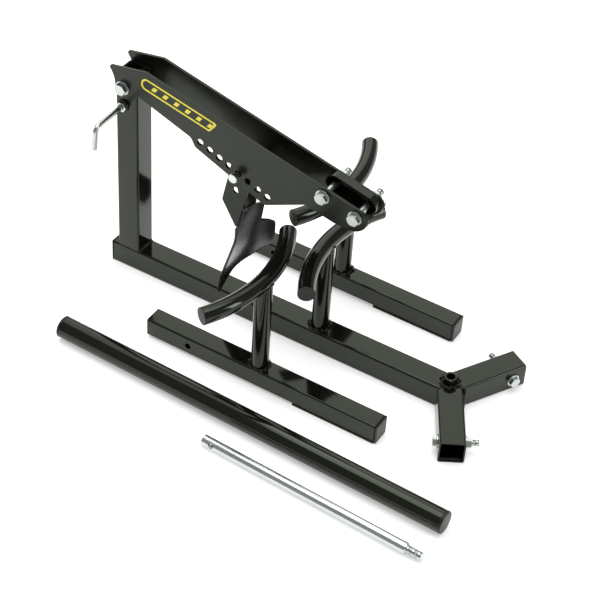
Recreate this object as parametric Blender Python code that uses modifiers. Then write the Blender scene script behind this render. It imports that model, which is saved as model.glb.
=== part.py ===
"""Bead breaker with a tyre-changing stand, laid out as a kit.

A base rail of square tube carries an upright post at one end and two splayed socket arms at the other.
A twin-plate lever arm turns on a bolt through the post and carries a swinging bead shoe on a pin.
Two loose legs, a handle bar and a spindle lie on the floor beside it.

Metres, +Z up.  +X runs along the rail from the post to the sockets, -Y is the front.
The origin is on the floor under the spindle nut.
"""
import math

import bmesh
import bpy
from mathutils import Matrix, Vector

# ---------------------------------------------------------------- driving dimensions
GAP = 0.0003            # clearance kept between touching solids
TUBE = 0.050            # rail, post and socket tube, outside
TUBE_WALL = 0.003
TUBE_CORNER = 0.0045    # outside corner radius of the 50 mm tube
RAIL_LEFT = -0.763      # left end of the rail tube
RAIL_PLUG = 0.004       # flange thickness of the plastic end plug
SOCKET_ANGLE = math.radians(60)
SOCKET_REACH = 0.159    # spindle axis to socket mouth
SOCKET_BOLT_AT = 0.130  # spindle axis to socket bolt
MITRE_X = 0.004         # where the three tubes meet

POST_X = -0.7255
POST_TOP = 0.470
PIVOT_X = -0.7280
PIVOT_Z = 0.447
CLAMP_X = -0.7315
CLAMP_Z = 0.402

PLATE_THICK = 0.006
PLATE_INNER = TUBE / 2 + 0.001      # inner face of each arm plate
PLATE_OUTER = PLATE_INNER + PLATE_THICK
HOLE_PITCH = 0.0232
HOLE_SLOPE = math.radians(-22.4)
HOLE_COUNT = 8
HOLE_FIRST = (-0.553, 0.395)
HOLE_RADIUS = 0.0070
SHOE_HOLE = 4                       # the pin sits in the fifth hole
END_BOLTS = ((-0.2855, 0.3890), (-0.2165, 0.3715))

SHOE_LEAN = math.radians(9.0)       # hanging angle towards the post
SHOE_ROLL = math.radians(6.0)       # the loose shoe sits askew on its pin

WASHER = 0.0025         # thickness of every washer
ARM_SHANK = 0.007       # M14 bolts in the arm, shank radius
ARM_HOLE = 0.0075
ARM_HEX = 0.022         # their heads and nuts across flats
ARM_HEAD = 0.009
ARM_NUT = 0.011
ARM_WASHER = 0.0145
SOCKET_SHANK = 0.006    # M12 bolts in the sockets and the clamp
SOCKET_HOLE = 0.0066
SOCKET_HEX = 0.019
SOCKET_HEAD = 0.0075
SOCKET_NUT = 0.0095
SOCKET_WASHER = 0.013
SOCKET_GRIP = 0.080        # shank lengths below the head
PIVOT_GRIP = 0.088
END_BOLT_GRIP = 0.098
CLAMP_NUT_HIGH = 0.010
SPINDLE_NUT_HEX = 0.024    # M16 nut on the junction
SPINDLE_NUT_HIGH = 0.0165
NUT_BORE_PLAY = 0.0003  # a nut's bore over its bolt's radius

LEG = 0.040
LEG_WALL = 0.0025
LEG_CORNER = 0.0035
LEG_LENGTH = 0.512
LEG_HOLE_AT = 0.096
LEG_POST_AT = 0.248
FOOT_FROM = 0.334
FOOT_THICK = 0.005
LEG_CAP = 0.005
FRONT_LEG = (-0.5744, -0.155)
BACK_LEG = (-0.5855, 0.1760)
FRONT_LEG_YAW = math.radians(-0.37)
BACK_LEG_YAW = math.radians(-0.60)

SADDLE_Z = 0.255        # centre height of each saddle tube
SADDLE_R = 0.287        # saddle centreline radius about the wheel's axis
SADDLE_HALF = math.radians(30)
RAIL_SADDLE_SKEW = math.radians(1.5)
SADDLE_TUBE_R = 0.01685
SADDLE_POST_R = 0.0172
SADDLE_WALL = 0.0025

BAR_LENGTH = 0.850
BAR_R = 0.02225
BAR_WALL = 0.0032
BAR_CAP = 0.005
BAR_LEFT = (-0.706, -0.2637)
BAR_YAW = math.radians(-1.88)
SPINDLE_R = 0.011
SPINDLE_LENGTH = 0.440
SPINDLE_THREAD_R = 0.008
SPINDLE_THREAD = 0.030
SPINDLE_LEFT = (-0.3223, -0.3545)
SPINDLE_YAW = math.radians(-2.6)

ROUND = 20              # sides of a round bar or hole
SIDES = ((-1, "front"), (1, "back"))
AXIS_X = Matrix.Rotation(math.pi / 2, 4, "Y")      # turns +Z to +X
AXIS_Y = Matrix.Rotation(-math.pi / 2, 4, "X")     # turns +Z to +Y

# ---------------------------------------------------------------- a clean file
for old in list(bpy.data.objects):
    bpy.data.objects.remove(old, do_unlink=True)
parts = bpy.data.collections.new("bead_breaker_stand")
cutters = bpy.data.collections.new("cutters")
for group in (parts, cutters):
    bpy.context.scene.collection.children.link(group)


# ---------------------------------------------------------------- materials
def material(name, colour, roughness, metallic):
    made = bpy.data.materials.new(name)
    made.use_nodes = True
    shader = made.node_tree.nodes["Principled BSDF"]
    shader.inputs["Base Color"].default_value = (*colour, 1.0)
    shader.inputs["Roughness"].default_value = roughness
    shader.inputs["Metallic"].default_value = metallic
    made.diffuse_color = (*colour, 1.0)
    return made


BLACK_PAINT = material("black_gloss_paint", (0.018, 0.019, 0.018), 0.25, 0.0)
BLACK_PLASTIC = material("black_plastic", (0.012, 0.012, 0.012), 0.5, 0.0)
ZINC = material("zinc_plate", (0.62, 0.64, 0.62), 0.35, 1.0)
BRIGHT_STEEL = material("bright_steel", (0.70, 0.70, 0.70), 0.2, 1.0)


# ---------------------------------------------------------------- shared ways of making a solid
def place(mesh, name, finish, matrix=Matrix.Identity(4), home=None):
    """Make a named part from a mesh, placed by a matrix."""
    made = bpy.data.objects.new(name, mesh)
    made.matrix_world = matrix
    (home or parts).objects.link(made)
    if finish:
        made.data.materials.append(finish)
    else:
        made.display_type = "WIRE"
        made.hide_render = True
    return made


def bm_mesh(name, bm, smooth=None):
    bmesh.ops.recalc_face_normals(bm, faces=bm.faces)
    mesh = bpy.data.meshes.new(name)
    bm.to_mesh(mesh)
    bm.free()
    if smooth:
        mesh.shade_smooth()
        mesh.set_sharp_from_angle(angle=math.radians(smooth))
    return mesh


def rod(name, finish, radius, length, matrix, sides=ROUND, bevel=0.0, home=None):
    """A round or hexagonal bar along the matrix's +Z, starting at its origin."""
    bm = bmesh.new()
    bmesh.ops.create_cone(bm, cap_ends=True, segments=sides, radius1=radius, radius2=radius, depth=length,
                          matrix=Matrix.Translation((0, 0, length / 2)))
    if bevel:
        rims = [e for e in bm.edges if abs(e.verts[0].co.z - e.verts[1].co.z) < 1e-7]
        bmesh.ops.bevel(bm, geom=rims, offset=bevel, segments=1, affect="EDGES", profile=0.5)
    return place(bm_mesh(name, bm, 35), name, finish, matrix, home)


def box(name, finish, low, high, home=None, bevel=0.0):
    size = Vector(high) - Vector(low)
    middle = (Vector(high) + Vector(low)) / 2
    bm = bmesh.new()
    bmesh.ops.create_cube(bm, size=1, matrix=Matrix.Diagonal((*size, 1)))
    if bevel:
        bmesh.ops.bevel(bm, geom=bm.edges[:], offset=bevel, segments=1, affect="EDGES", profile=0.5)
    return place(bm_mesh(name, bm), name, finish, Matrix.Translation(middle), home)


def rounded(corners, steps=4):
    """Points of an outline whose corners (x, y, radius) are turned into arcs."""
    points = []
    count = len(corners)
    for index, (x, y, radius) in enumerate(corners):
        here = Vector((x, y))
        if radius == 0:
            points.append(here)
            continue
        before = (Vector(corners[index - 1][:2]) - here).normalized()
        after = (Vector(corners[(index + 1) % count][:2]) - here).normalized()
        half = before.angle(after) / 2
        middle = here + (before + after).normalized() * radius / math.sin(half)
        start = here + before * radius / math.tan(half) - middle
        end = here + after * radius / math.tan(half) - middle
        sweep = start.angle_signed(end)
        for step in range(steps + 1):
            turn = Matrix.Rotation(-sweep * step / steps, 2)
            points.append(middle + turn @ start)
    return points


def slab(name, finish, loops, thick, matrix, home=None):
    """A flat outline, with any holes, as a 2D curve of the given thickness on the matrix's XY plane."""
    curve = bpy.data.curves.new(name, "CURVE")
    curve.dimensions = "2D"
    curve.fill_mode = "BOTH"
    curve.extrude = thick / 2
    for loop in loops:
        spline = curve.splines.new("POLY")
        spline.points.add(len(loop) - 1)
        for point, at in zip(spline.points, loop):
            point.co = (at[0], at[1], 0, 1)
        spline.use_cyclic_u = True
    return curve_mesh(curve, name, finish, matrix, home)


def curve_mesh(curve, name, finish, matrix, home=None, smooth=30):
    """Turn a curve into a closed mesh object of the same name."""
    guide = bpy.data.objects.new(name + "_curve", curve)
    parts.objects.link(guide)
    bpy.context.view_layer.update()
    mesh = bpy.data.meshes.new_from_object(guide.evaluated_get(bpy.context.evaluated_depsgraph_get()))
    bpy.data.objects.remove(guide, do_unlink=True)
    bpy.data.curves.remove(curve)
    bm = bmesh.new()
    bm.from_mesh(mesh)
    bmesh.ops.remove_doubles(bm, verts=bm.verts, dist=1e-6)
    bmesh.ops.recalc_face_normals(bm, faces=bm.faces)
    bm.to_mesh(mesh)
    bm.free()
    mesh.materials.clear()
    mesh.shade_smooth()
    mesh.set_sharp_from_angle(angle=math.radians(smooth))
    return place(mesh, name, finish, matrix, home)


def wire(name, finish, points, radius, sides=12, home=None):
    """A solid round wire along a list of points."""
    curve = bpy.data.curves.new(name, "CURVE")
    curve.dimensions = "3D"
    curve.bevel_depth = radius
    curve.bevel_resolution = sides // 2 - 2
    curve.use_fill_caps = True
    spline = curve.splines.new("POLY")
    spline.points.add(len(points) - 1)
    for point, at in zip(spline.points, points):
        point.co = (*at, 1)
    return curve_mesh(curve, name, finish, Matrix.Identity(4), home, smooth=40)


def square(half, corner):
    return rounded([(-half, -half, corner), (half, -half, corner),
                    (half, half, corner), (-half, half, corner)], 3)


def square_tube(name, length, size, wall, corner, matrix):
    """Open square tube along the matrix's +Z, starting at its origin."""
    loops = [square(size / 2, corner), square(size / 2 - wall, max(corner - wall, 0.0008))]
    return slab(name, BLACK_PAINT, loops, length, matrix @ Matrix.Translation((0, 0, length / 2)))


def circle(x, y, radius, sides=16):
    return [(x + radius * math.cos(2 * math.pi * i / sides), y + radius * math.sin(2 * math.pi * i / sides))
            for i in range(sides)]


def boolean(target, tool, how="DIFFERENCE"):
    step = target.modifiers.new(tool.name, "BOOLEAN")
    step.operation = how
    step.solver = "EXACT"
    step.object = tool


def cutter_rod(name, radius, low, high, sides=ROUND):
    """A round cutter between two points."""
    low, high = Vector(low), Vector(high)
    turn = (high - low).to_track_quat("Z", "Y").to_matrix().to_4x4()
    return rod(name, None, radius, (high - low).length, Matrix.Translation(low) @ turn, sides, home=cutters)


def sector_cutter(name, tip, keep_from, keep_to):
    """A tall prism covering every direction from the tip except the kept angles."""
    reach = 0.4
    steps = 8
    span = 360 - (keep_to - keep_from)
    angles = [math.radians(keep_to + span * i / steps) for i in range(steps + 1)]
    outline = [tip] + [(tip[0] + reach * math.cos(a), tip[1] + reach * math.sin(a)) for a in angles]
    return slab(name, None, [outline], 0.2, Matrix.Identity(4), cutters)


def bolt(name, at, direction, shank_r, grip, across, head, home=None, finish=ZINC):
    """A hex bolt whose head sits at the point and whose shank runs along the direction."""
    turn = Vector(direction).to_track_quat("Z", "Y").to_matrix().to_4x4()
    frame = Matrix.Translation(at) @ turn
    made = rod(name, finish, across / math.sqrt(3), head, frame @ Matrix.Translation((0, 0, -head)), 6, 0.0008)
    stem = rod(name + "_stem", None, shank_r, grip + head / 2, frame @ Matrix.Translation((0, 0, -head / 2)),
               16, 0.001, home=cutters)
    boolean(made, stem, "UNION")
    return made


def ring(name, at, direction, outer, inner, thick, sides=ROUND, finish=ZINC):
    """A washer or, with six sides, a nut, starting at the point and running along the direction."""
    turn = Vector(direction).to_track_quat("Z", "Y").to_matrix().to_4x4()
    loops = [circle(0, 0, outer, sides), circle(0, 0, inner, 16)]
    place = Matrix.Translation(at) @ turn @ Matrix.Translation((0, 0, thick / 2))
    return slab(name, finish, loops, thick, place)


def nut(name, at, direction, across, bolt_r, thick, finish=ZINC):
    """A hexagon nut starting at the point and running along the direction."""
    return ring(name, at, direction, across / math.sqrt(3), bolt_r + NUT_BORE_PLAY, thick, 6, finish)


def body(name, at, members, yaw=0.0):
    """An empty on the joint's axis that carries a moving body's parts, turned about the vertical."""
    holder = bpy.data.objects.new(name, None)
    holder.location = at
    holder.empty_display_size = 0.05
    parts.objects.link(holder)
    bpy.context.view_layer.update()
    tools = [step.object for member in members for step in member.modifiers if step.type == "BOOLEAN"]
    for member in members + tools:
        member.parent = holder
        member.matrix_parent_inverse = holder.matrix_world.inverted()
    holder.rotation_euler = (0, 0, yaw)
    return holder


# ---------------------------------------------------------------- base rail and its junction
# Three 50 mm tubes meet in 120 degree mitres under the spindle nut.
def socket_frame(side):
    """Z along the arm, X across it level, from the spindle axis at tube mid height."""
    along = Vector((math.cos(SOCKET_ANGLE), side * math.sin(SOCKET_ANGLE), 0))
    level = along.cross(Vector((0, 0, 1)))
    turn = Matrix((level, Vector((0, 0, 1)), along)).transposed().to_4x4()
    return Matrix.Translation((0, 0, TUBE / 2)) @ turn


MITRE_SHIFT = GAP / 2 / math.sin(SOCKET_ANGLE)
base_rail = square_tube("base_rail", 0.06 - RAIL_LEFT, TUBE, TUBE_WALL, TUBE_CORNER,
                        Matrix.Translation((RAIL_LEFT, 0, TUBE / 2)) @ AXIS_X)
boolean(base_rail, sector_cutter("rail_mitre", (MITRE_X - MITRE_SHIFT, 0), 120, 240))
rail_end_plug = box("rail_end_plug", BLACK_PLASTIC, (RAIL_LEFT - GAP - RAIL_PLUG, -TUBE / 2, 0),
                    (RAIL_LEFT - GAP, TUBE / 2, TUBE), bevel=0.0015)
plug_half = TUBE / 2 - TUBE_WALL - GAP * 2
plug_body = box("plug_body", None, (RAIL_LEFT - GAP - RAIL_PLUG / 2, -plug_half, TUBE / 2 - plug_half),
                (RAIL_LEFT + 0.014, plug_half, TUBE / 2 + plug_half), cutters, 0.001)
boolean(rail_end_plug, plug_body, "UNION")

frame_members = [base_rail, rail_end_plug]
for side, name in SIDES:
    frame = socket_frame(side)
    arm = square_tube("socket_arm_" + name, SOCKET_REACH + 0.04, TUBE, TUBE_WALL, TUBE_CORNER,
                      frame @ Matrix.Translation((0, 0, -0.04)))
    shift = Vector((math.cos(SOCKET_ANGLE), side * math.sin(SOCKET_ANGLE))) * MITRE_SHIFT
    keep = (0, 120) if side > 0 else (-120, 0)
    boolean(arm, sector_cutter("socket_mitre_" + name, (MITRE_X + shift.x, shift.y), *keep))
    # A clamping bolt crosses each socket near its mouth; both bolts point the same way round the spindle.
    away = frame.to_3x3() @ Vector((-1, 0, 0))
    centre = frame @ Vector((0, 0, SOCKET_BOLT_AT))
    face = TUBE / 2 + GAP
    boolean(arm, cutter_rod("socket_hole_" + name, SOCKET_HOLE, centre - away * TUBE, centre + away * TUBE))
    frame_members += [
        arm,
        bolt("socket_bolt_" + name, centre - away * (face + WASHER + GAP), away, SOCKET_SHANK, SOCKET_GRIP,
             SOCKET_HEX, SOCKET_HEAD),
        ring("socket_head_washer_" + name, centre - away * face, -away, SOCKET_WASHER, SOCKET_HOLE, WASHER),
        ring("socket_nut_washer_" + name, centre + away * face, away, SOCKET_WASHER, SOCKET_HOLE, WASHER),
        nut("socket_nut_" + name, centre + away * (face + WASHER + GAP), away, SOCKET_HEX, SOCKET_SHANK,
            SOCKET_NUT)]

# The spindle's thread passes the nut and the tubes' top walls below it.
thread_hole = cutter_rod("thread_hole", SPINDLE_THREAD_R + 0.0008, (0, 0, TUBE - 0.008), (0, 0, TUBE + 0.008))
for member in frame_members:
    if member.name in ("base_rail", "socket_arm_front", "socket_arm_back"):
        boolean(member, thread_hole)
frame_members.append(nut("spindle_nut", (0, 0, TUBE + GAP), (0, 0, 1), SPINDLE_NUT_HEX, SPINDLE_THREAD_R,
                         SPINDLE_NUT_HIGH, BLACK_PAINT))

# ---------------------------------------------------------------- upright post
upright_post = square_tube("upright_post", POST_TOP - TUBE - GAP, TUBE, TUBE_WALL, TUBE_CORNER,
                           Matrix.Translation((POST_X, 0, TUBE + GAP)))
boolean(upright_post, cutter_rod("pivot_hole", ARM_HOLE, (PIVOT_X, -TUBE, PIVOT_Z), (PIVOT_X, TUBE, PIVOT_Z)))
boolean(upright_post, cutter_rod("clamp_hole", SOCKET_HOLE, (CLAMP_X, -TUBE, CLAMP_Z), (CLAMP_X, 0, CLAMP_Z)))
plate_face = PLATE_OUTER + GAP
head_y = -(plate_face + WASHER + GAP)
pivot_bolt = bolt("pivot_bolt", (PIVOT_X, head_y, PIVOT_Z), (0, 1, 0), ARM_SHANK, PIVOT_GRIP, ARM_HEX, ARM_HEAD)
pivot_washers = [ring("pivot_washer_" + name, (PIVOT_X, side * plate_face, PIVOT_Z), (0, side, 0),
                      ARM_WASHER, ARM_HOLE, WASHER) for side, name in SIDES]
pivot_nut = nut("pivot_nut", (PIVOT_X, -head_y, PIVOT_Z), (0, 1, 0), ARM_HEX, ARM_SHANK, ARM_NUT)
clamp_nut = nut("clamp_nut", (CLAMP_X, -TUBE / 2 - GAP, CLAMP_Z), (0, -1, 0), SOCKET_HEX, SOCKET_SHANK,
                CLAMP_NUT_HIGH)
frame_members += [upright_post, pivot_bolt, pivot_nut, clamp_nut] + pivot_washers


# ---------------------------------------------------------------- saddles
def saddle(name, post_at, floor, heading, skew=0.0):
    """A round post carrying a level curved tube that is hollow towards the wheel's axis."""
    centre = Vector((post_at[0] + heading * SADDLE_R, post_at[1], SADDLE_Z))
    steps = 14
    points = []
    for step in range(steps + 1):
        angle = -SADDLE_HALF + 2 * SADDLE_HALF * step / steps
        points.append(centre + Vector((-heading * SADDLE_R * math.cos(angle), SADDLE_R * math.sin(angle), 0)))
    apex = Vector((*post_at, SADDLE_Z))
    points = [apex + Matrix.Rotation(skew, 3, "Z") @ (point - apex) for point in points]
    first = points[0] + (points[0] - points[1]) / 2
    last = points[-1] + (points[-1] - points[-2]) / 2
    overshoot = [first] + points[1:-1] + [last]
    tube = wire(name + "_saddle_tube", BLACK_PAINT, points, SADDLE_TUBE_R, 14)
    boolean(tube, wire(name + "_saddle_bore", None, overshoot, SADDLE_TUBE_R - SADDLE_WALL, 10, cutters))
    height = SADDLE_Z - floor - GAP
    loops = [circle(0, 0, SADDLE_POST_R, ROUND), circle(0, 0, SADDLE_POST_R - SADDLE_WALL, 12)]
    post = slab(name + "_saddle_post", BLACK_PAINT, loops, height,
                Matrix.Translation((*post_at, floor + GAP + height / 2)))
    boolean(post, wire(name + "_cope", None, points, SADDLE_TUBE_R + GAP, 14, cutters))
    plugs = []
    for end, inner, which in ((points[0], points[1], "front"), (points[-1], points[-2], "back")):
        out = (end - inner).normalized()
        turn = out.to_track_quat("Z", "Y").to_matrix().to_4x4()
        plugs.append(rod(name + "_saddle_plug_" + which, BLACK_PLASTIC, SADDLE_TUBE_R, 0.003,
                         Matrix.Translation(end + out * GAP) @ turn, ROUND, 0.001))
    return [tube, post] + plugs


frame_members += saddle("rail", (-SADDLE_R, 0), TUBE, 1, RAIL_SADDLE_SKEW)


# ---------------------------------------------------------------- loose legs
def leg(name, start):
    """A leg of 40 mm tube with a saddle, a foot plate under its outer half and a plastic end cap."""
    x, y = start
    tube = square_tube(name + "_leg_tube", LEG_LENGTH, LEG, LEG_WALL, LEG_CORNER,
                       Matrix.Translation((x, y, FOOT_THICK + LEG / 2)) @ AXIS_X)
    boolean(tube, cutter_rod(name + "_leg_hole", 0.0065, (x + LEG_HOLE_AT, y - 0.03, FOOT_THICK + LEG / 2),
                             (x + LEG_HOLE_AT, y + 0.03, FOOT_THICK + LEG / 2)))
    foot = box(name + "_foot_plate", BLACK_PAINT, (x + FOOT_FROM, y - LEG / 2, 0),
               (x + LEG_LENGTH, y + LEG / 2, FOOT_THICK - GAP))
    cap = box(name + "_leg_cap", BLACK_PLASTIC, (x + LEG_LENGTH + GAP, y - LEG / 2, FOOT_THICK - 0.003),
              (x + LEG_LENGTH + GAP + LEG_CAP, y + LEG / 2, FOOT_THICK + LEG), bevel=0.0015)
    inside = LEG / 2 - LEG_WALL - 2 * GAP
    core = box(name + "_cap_core", None, (x + LEG_LENGTH - 0.012, y - inside, FOOT_THICK + LEG / 2 - inside),
               (x + LEG_LENGTH + LEG_CAP / 2, y + inside, FOOT_THICK + LEG / 2 + inside), cutters, 0.001)
    boolean(cap, core, "UNION")
    return [tube, foot, cap] + saddle(name, (x + LEG_POST_AT, y), FOOT_THICK + LEG, -1)


body("front_leg_lift", (FRONT_LEG[0], FRONT_LEG[1], 0), leg("front", FRONT_LEG), FRONT_LEG_YAW)
body("back_leg_lift", (BACK_LEG[0], BACK_LEG[1], 0), leg("back", BACK_LEG), BACK_LEG_YAW)

# ---------------------------------------------------------------- lever arm
# Side outline of both plates: x, z and corner radius, clockwise seen from the front.
ARM_OUTLINE = [
    (-0.7600, 0.4865, 0.004), (-0.6760, 0.5010, 0.008), (-0.6290, 0.4896, 0.300),
    (-0.1905, 0.3850, 0.022), (-0.1885, 0.3370, 0.036), (-0.2600, 0.3395, 0.020), (-0.3210, 0.3530, 0.006),
    (-0.4080, 0.3120, 0.014), (-0.4420, 0.3270, 0.030), (-0.5640, 0.3790, 0.012), (-0.5740, 0.3970, 0.012),
    (-0.6930, 0.4400, 0.008), (-0.7070, 0.4235, 0.006), (-0.7440, 0.4235, 0.018), (-0.7470, 0.4640, 0.060)]
outline = rounded(list(reversed(ARM_OUTLINE)), 4)
hole_step = (HOLE_PITCH * math.cos(HOLE_SLOPE), HOLE_PITCH * math.sin(HOLE_SLOPE))
hole_spots = [(HOLE_FIRST[0] + hole_step[0] * i, HOLE_FIRST[1] + hole_step[1] * i) for i in range(HOLE_COUNT)]
plate_loops = [outline] + [circle(x, z, HOLE_RADIUS) for x, z in hole_spots]
plate_loops += [circle(x, z, ARM_HOLE) for x, z in END_BOLTS + ((PIVOT_X, PIVOT_Z),)]
UPRIGHT = Matrix.Rotation(math.pi / 2, 4, "X")      # the outline's y becomes the plate's z
arm_members = []
for side, name in SIDES:
    middle = side * (PLATE_INNER + PLATE_THICK / 2)
    arm_members.append(slab("arm_plate_" + name, BLACK_PAINT, plate_loops, PLATE_THICK,
                            Matrix.Translation((0, middle, 0)) @ UPRIGHT))

# A flat-oval band stands off the back plate round the two end bolts.
BAND_R = 0.020
BAND_WALL = 0.003
BAND_DEPTH = 0.016


def flat_oval(radius, steps=10):
    """A racetrack round the two end bolts."""
    inner, outer = END_BOLTS
    slope = math.atan2(outer[1] - inner[1], outer[0] - inner[0])
    points = []
    for (x, z), start in ((outer, slope - math.pi / 2), (inner, slope + math.pi / 2)):
        for step in range(steps + 1):
            angle = start + math.pi * step / steps
            points.append((x + radius * math.cos(angle), z + radius * math.sin(angle)))
    return points


arm_members.append(slab("end_band", BLACK_PAINT, [flat_oval(BAND_R), flat_oval(BAND_R - BAND_WALL)], BAND_DEPTH,
                        Matrix.Translation((0, PLATE_INNER - GAP - BAND_DEPTH / 2, 0)) @ UPRIGHT))
for (x, z), name in zip(END_BOLTS, ("inner", "outer")):
    arm_members.append(bolt("arm_bolt_" + name, (x, head_y, z), (0, 1, 0), ARM_SHANK, END_BOLT_GRIP,
                            ARM_HEX, ARM_HEAD))
    arm_members += [ring("arm_washer_%s_%s" % (name, side_name), (x, side * plate_face, z), (0, side, 0),
                         ARM_WASHER, ARM_HOLE, WASHER) for side, side_name in SIDES]
    arm_members.append(nut("arm_nut_" + name, (x, -head_y, z), (0, 1, 0), ARM_HEX, ARM_SHANK, ARM_NUT))
body("lever_arm_pivot", (PIVOT_X, 0, PIVOT_Z), arm_members)

# ---------------------------------------------------------------- bead shoe
# Built hanging straight below the pin, then leaned and rolled about it.
pin_x, pin_z = hole_spots[SHOE_HOLE]
LUG_THICK = 0.005
LUG_OUTER = 0.020
shoe_frame = (Matrix.Translation((pin_x, 0, pin_z)) @ Matrix.Rotation(SHOE_LEAN, 4, "Y")
              @ Matrix.Rotation(-SHOE_ROLL, 4, "X"))
# Side outlines of the lugs, clockwise: the back one reaches further, to meet the blade's curve, and has
# more of its heel cut away.
LUG_TOP = [(-0.024, 0.016, 0.008), (0.024, 0.016, 0.008)]
LUG_TOE = (0.0178, -0.1275, 0.004)
LUG_FRONT = LUG_TOP + [(0.0232, -0.0800, 0.0), (0.0218, -0.1275, 0.0), LUG_TOE, (-0.0235, -0.0850, 0.008)]
LUG_BACK = LUG_TOP + [(0.0235, -0.0500, 0.010), (0.0302, -0.0800, 0.004), (0.0288, -0.1275, 0.0), LUG_TOE,
                      (-0.0240, -0.0550, 0.008)]
PIN_HOLE = 0.0072
SECOND_HOLE = (-0.0005, -0.0500, 0.0066)    # a spare hole below the pin: x, z, radius
shoe_members = []
for (side, name), shape in zip(SIDES, (LUG_FRONT, LUG_BACK)):
    middle = side * (LUG_OUTER - LUG_THICK / 2)
    lug_loops = [rounded(list(reversed(shape)), 4), circle(0, 0, PIN_HOLE), circle(*SECOND_HOLE)]
    shoe_members.append(slab("shoe_lug_" + name, BLACK_PAINT, lug_loops, LUG_THICK,
                             shoe_frame @ Matrix.Translation((0, middle, 0)) @ UPRIGHT))

# The blade is plate rolled about an upright axis.  Its straight edge is welded to the front lug, flush with
# the lug's outer face, and it curves away from there to the back lug and on into the wing.
BLADE_THICK = 0.005
BLADE_CURVE = 0.080     # radius of its middle surface, seen from above
# Depth below the pin, x of the straight edge, and y of the far edge: neck, shoulder, wing and tip.
BLADE_ROWS = [
    (-0.0800, 0.0262, 0.0285), (-0.1000, 0.0258, 0.0300), (-0.1215, 0.0254, 0.0315), (-0.1235, 0.0253, 0.0350),
    (-0.1240, 0.0253, 0.0460), (-0.1255, 0.0253, 0.0495), (-0.1290, 0.0254, 0.0508), (-0.1450, 0.0258, 0.0521),
    (-0.1650, 0.0265, 0.0533), (-0.1760, 0.0256, 0.0531), (-0.1830, 0.0249, 0.0510), (-0.1958, 0.0238, 0.0440),
    (-0.2105, 0.0224, 0.0375), (-0.2210, 0.0214, 0.0300), (-0.2316, 0.0204, 0.0215), (-0.2416, 0.0195, 0.0140),
    (-0.2500, 0.0188, 0.0095), (-0.2600, 0.0192, 0.0045), (-0.2800, 0.0200, -0.0055), (-0.2960, 0.0206, -0.0140)]


def blade_mesh():
    """The blade's middle surface as rows of points across it."""
    columns = 8
    start = -LUG_OUTER
    bm = bmesh.new()
    rows = []
    for depth, edge_x, far_y in BLADE_ROWS:
        row = []
        for column in range(columns + 1):
            across = (far_y - start) * column / columns
            hollow = BLADE_CURVE - math.sqrt(BLADE_CURVE ** 2 - across ** 2)
            row.append(bm.verts.new((edge_x + hollow, start + across, depth)))
        rows.append(row)
    for upper, lower in zip(rows, rows[1:]):
        for i in range(columns):
            bm.faces.new((upper[i], lower[i], lower[i + 1], upper[i + 1]))
    return bm_mesh("shoe_blade", bm, 40)


shoe_blade = place(blade_mesh(), "shoe_blade", BLACK_PAINT, shoe_frame)
wall = shoe_blade.modifiers.new("thickness", "SOLIDIFY")
wall.thickness = BLADE_THICK
wall.offset = 0
shoe_members.append(shoe_blade)
body("shoe_pivot", (pin_x, 0, pin_z), shoe_members)

PIN_R = 0.005
PIN_FRONT = -0.052
pin_frame = Matrix.Translation((pin_x, PIN_FRONT, pin_z)) @ AXIS_Y
shoe_pin = rod("shoe_pin", BRIGHT_STEEL, 0.0095, 0.006, pin_frame, ROUND, 0.0006)
pin_stem = rod("pin_stem", None, PIN_R, 0.094, pin_frame @ Matrix.Translation((0, 0, 0.002)), 16, 0.001, cutters)
boolean(shoe_pin, pin_stem, "UNION")
body("shoe_pin_slide", (pin_x, 0, pin_z), [shoe_pin])

# ---------------------------------------------------------------- clamp handle
HANDLE_R = 0.0055
HANDLE_REACH = -0.117
HANDLE_DROP = 0.049
BEND_R = 0.012
bend = []
for step in range(7):
    angle = math.pi / 2 * step / 6
    forward = BEND_R * (1 - math.sin(angle))
    bend.append((CLAMP_X, HANDLE_REACH + forward, CLAMP_Z - BEND_R * (1 - math.cos(angle))))
route = [(CLAMP_X, -0.008, CLAMP_Z)] + bend + [(CLAMP_X - 0.003, HANDLE_REACH, CLAMP_Z - HANDLE_DROP)]
clamp_handle = wire("clamp_handle", ZINC, route, HANDLE_R)
body("clamp_handle_turn", (CLAMP_X, 0, CLAMP_Z), [clamp_handle])

# ---------------------------------------------------------------- handle bar
bar_frame = (Matrix.Translation((*BAR_LEFT, BAR_R)) @ Matrix.Rotation(BAR_YAW, 4, "Z") @ AXIS_X)
handle_bar = slab("handle_bar", BLACK_PAINT, [circle(0, 0, BAR_R, 24), circle(0, 0, BAR_R - BAR_WALL, 16)],
                  BAR_LENGTH, bar_frame @ Matrix.Translation((0, 0, BAR_LENGTH / 2)))
cross = Vector((0, math.cos(math.radians(40)), math.sin(math.radians(40))))
hole_at = bar_frame @ Vector((0, 0, 0.027))
boolean(handle_bar, cutter_rod("bar_hole", 0.0065, hole_at - cross * 0.03, hole_at + cross * 0.03, 16))
bar_caps = []
for at, name in ((-GAP - BAR_CAP, "left"), (BAR_LENGTH + GAP, "right")):
    cap_frame = bar_frame @ Matrix.Translation((0, 0, at))
    bar_caps.append(rod("bar_cap_" + name, BLACK_PLASTIC, BAR_R, BAR_CAP, cap_frame, 24, 0.0018))
body("handle_bar_lift", (*BAR_LEFT, 0), [handle_bar] + bar_caps)

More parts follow.
